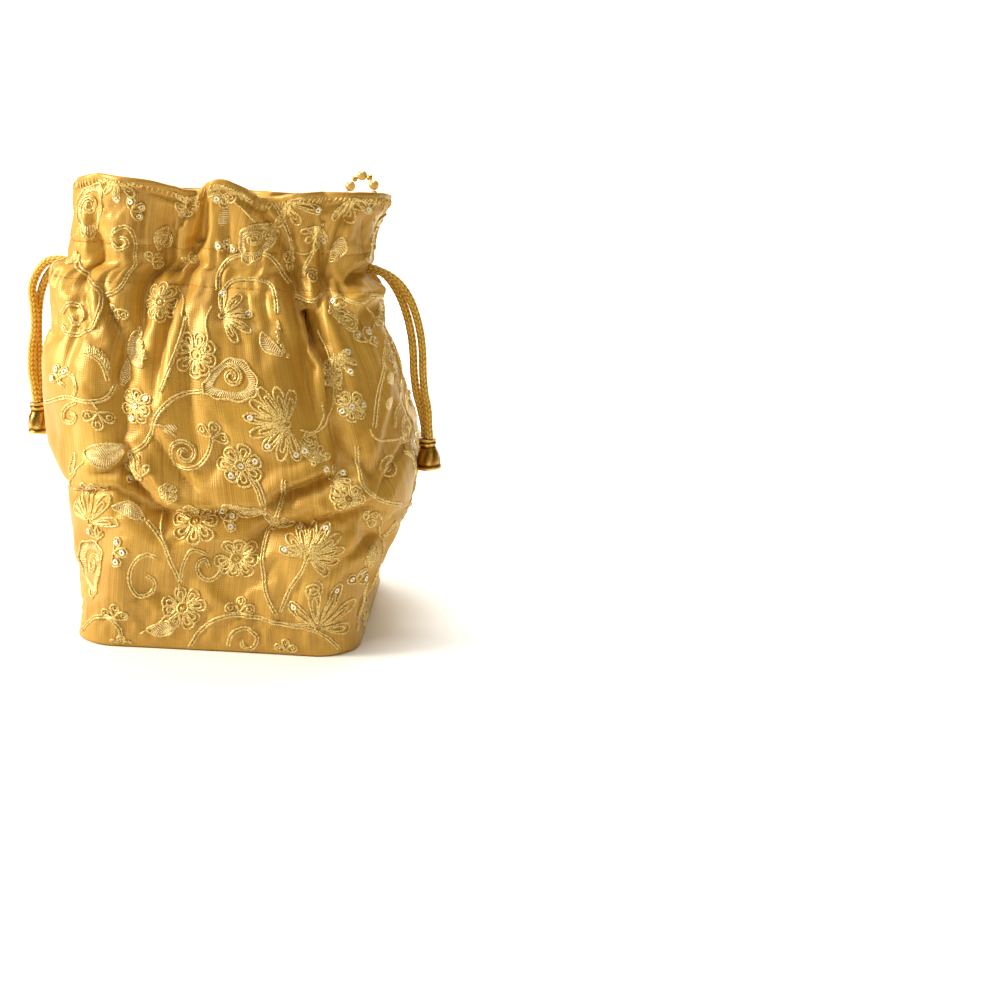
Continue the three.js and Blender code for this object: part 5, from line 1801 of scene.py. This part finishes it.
openings = [line for side in (-1, 1) for line in opening_stitches(side)]
sewing = [
    threads_piece("channel_stitches", laid(channel_stitches(), 1.2), 0.3, 0.12, 0.0, SEWING_THREAD),
    threads_piece("whipped_rim", laid(whipped_rim(), 1.2), 0.42, 0.2, 0.0, ZARI),
    threads_piece("opening_stitches", laid(openings, 1.0), 0.4, 0.15, 0.0, SEWING_THREAD),
    threads_piece("base_stitches", base_stitches(), 0.3, 0.0, 0.0, SEWING_THREAD),
]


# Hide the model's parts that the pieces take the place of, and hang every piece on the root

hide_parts("bag_shell")
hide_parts("lining")
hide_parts("base_panel")
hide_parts("bead_handle")
for side_name, cap in caps.items():
    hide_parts(f"bell_{side_name}")
for (side_name, way_name), (strand, _) in strands.items():
    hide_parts(f"cord_{side_name}_{way_name}")
for side_name in caps:
    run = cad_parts[f"cord_{side_name}_run"]
    run.data.materials.clear()
    run.data.materials.append(BRAID)
pieces = [bag_cloth, lining, base, beads, *caps.values(), *[strand for strand, _ in strands.values()]]
pieces += embroidery + sewing
for piece in pieces:
    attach(piece, "root")

for (side_name, way_name), (strand, line) in strands.items():
    lengths_along(line)[-1] * MM


# A plain pale floor and soft studio light

floor_paint = new_material("matt white paper", Roughness=0.9, Base_Color=linear("#fbfbf9"))[0]
bm = bmesh.new()
bmesh.ops.create_grid(bm, x_segments=1, y_segments=1, size=2.0)
back_edge = [edge for edge in bm.edges if all(vert.co.y > 1.9 for vert in edge.verts)]
wall_top = bmesh.ops.extrude_edge_only(bm, edges=back_edge)["geom"]
top_verts = [item for item in wall_top if isinstance(item, bmesh.types.BMVert)]
bmesh.ops.translate(bm, verts=top_verts, vec=(0, 0, 2.4))
bmesh.ops.bevel(
    bm, geom=[edge for edge in bm.edges if all(abs(vert.co.y - 2) + vert.co.z < 0.01 for vert in edge.verts)],
    offset=0.6, offset_type="OFFSET", affect="EDGES", segments=16, profile=0.5, material=-1)
for face in bm.faces:
    face.smooth = True
backdrop = piece_from(bm, "paper_backdrop", floor_paint)

# Each lamp: name, place and aim in metres, size in metres, watts, colour
Lamp = namedtuple("Lamp", "name at aim size watts colour")
LAMPS = [
    Lamp("window_light", (-1.25, -0.36, 0.68), (0, 0, 0.1), 0.45, 28, "#fff8ea"),
    Lamp("sky_light", (-0.2, -0.2, 1.3), (0, 0, 0.05), 1.0, 7, "#f8faff"),
    Lamp("room_light", (0.9, -0.9, 0.4), (0, 0, 0.1), 0.9, 1, "#ffe2b4"),
    Lamp("backdrop_light", (0, 0.7, 1.7), (0, 2, 0.6), 1.2, 60, "#ffffff"),
]
for lamp in LAMPS:
    data = bpy.data.lights.new(lamp.name, "AREA")
    data.shape = "DISK"
    data.size = lamp.size
    data.energy = lamp.watts
    data.color = linear(lamp.colour)[:3]
    light = bpy.data.objects.new(lamp.name, data)
    bpy.context.scene.collection.objects.link(light)
    aim = Vector(lamp.aim) - Vector(lamp.at)
    light.matrix_world = Matrix.Translation(lamp.at) @ aim.to_track_quat("-Z", "Y").to_matrix().to_4x4()

world = bpy.data.worlds.new("pale_room")
world.use_nodes = True
world.node_tree.nodes["Background"].inputs["Color"].default_value = linear("#ffecc8")
world.node_tree.nodes["Background"].inputs["Strength"].default_value = 0.27
bpy.context.scene.world = world

bpy.context.scene.view_settings.view_transform = "Standard"
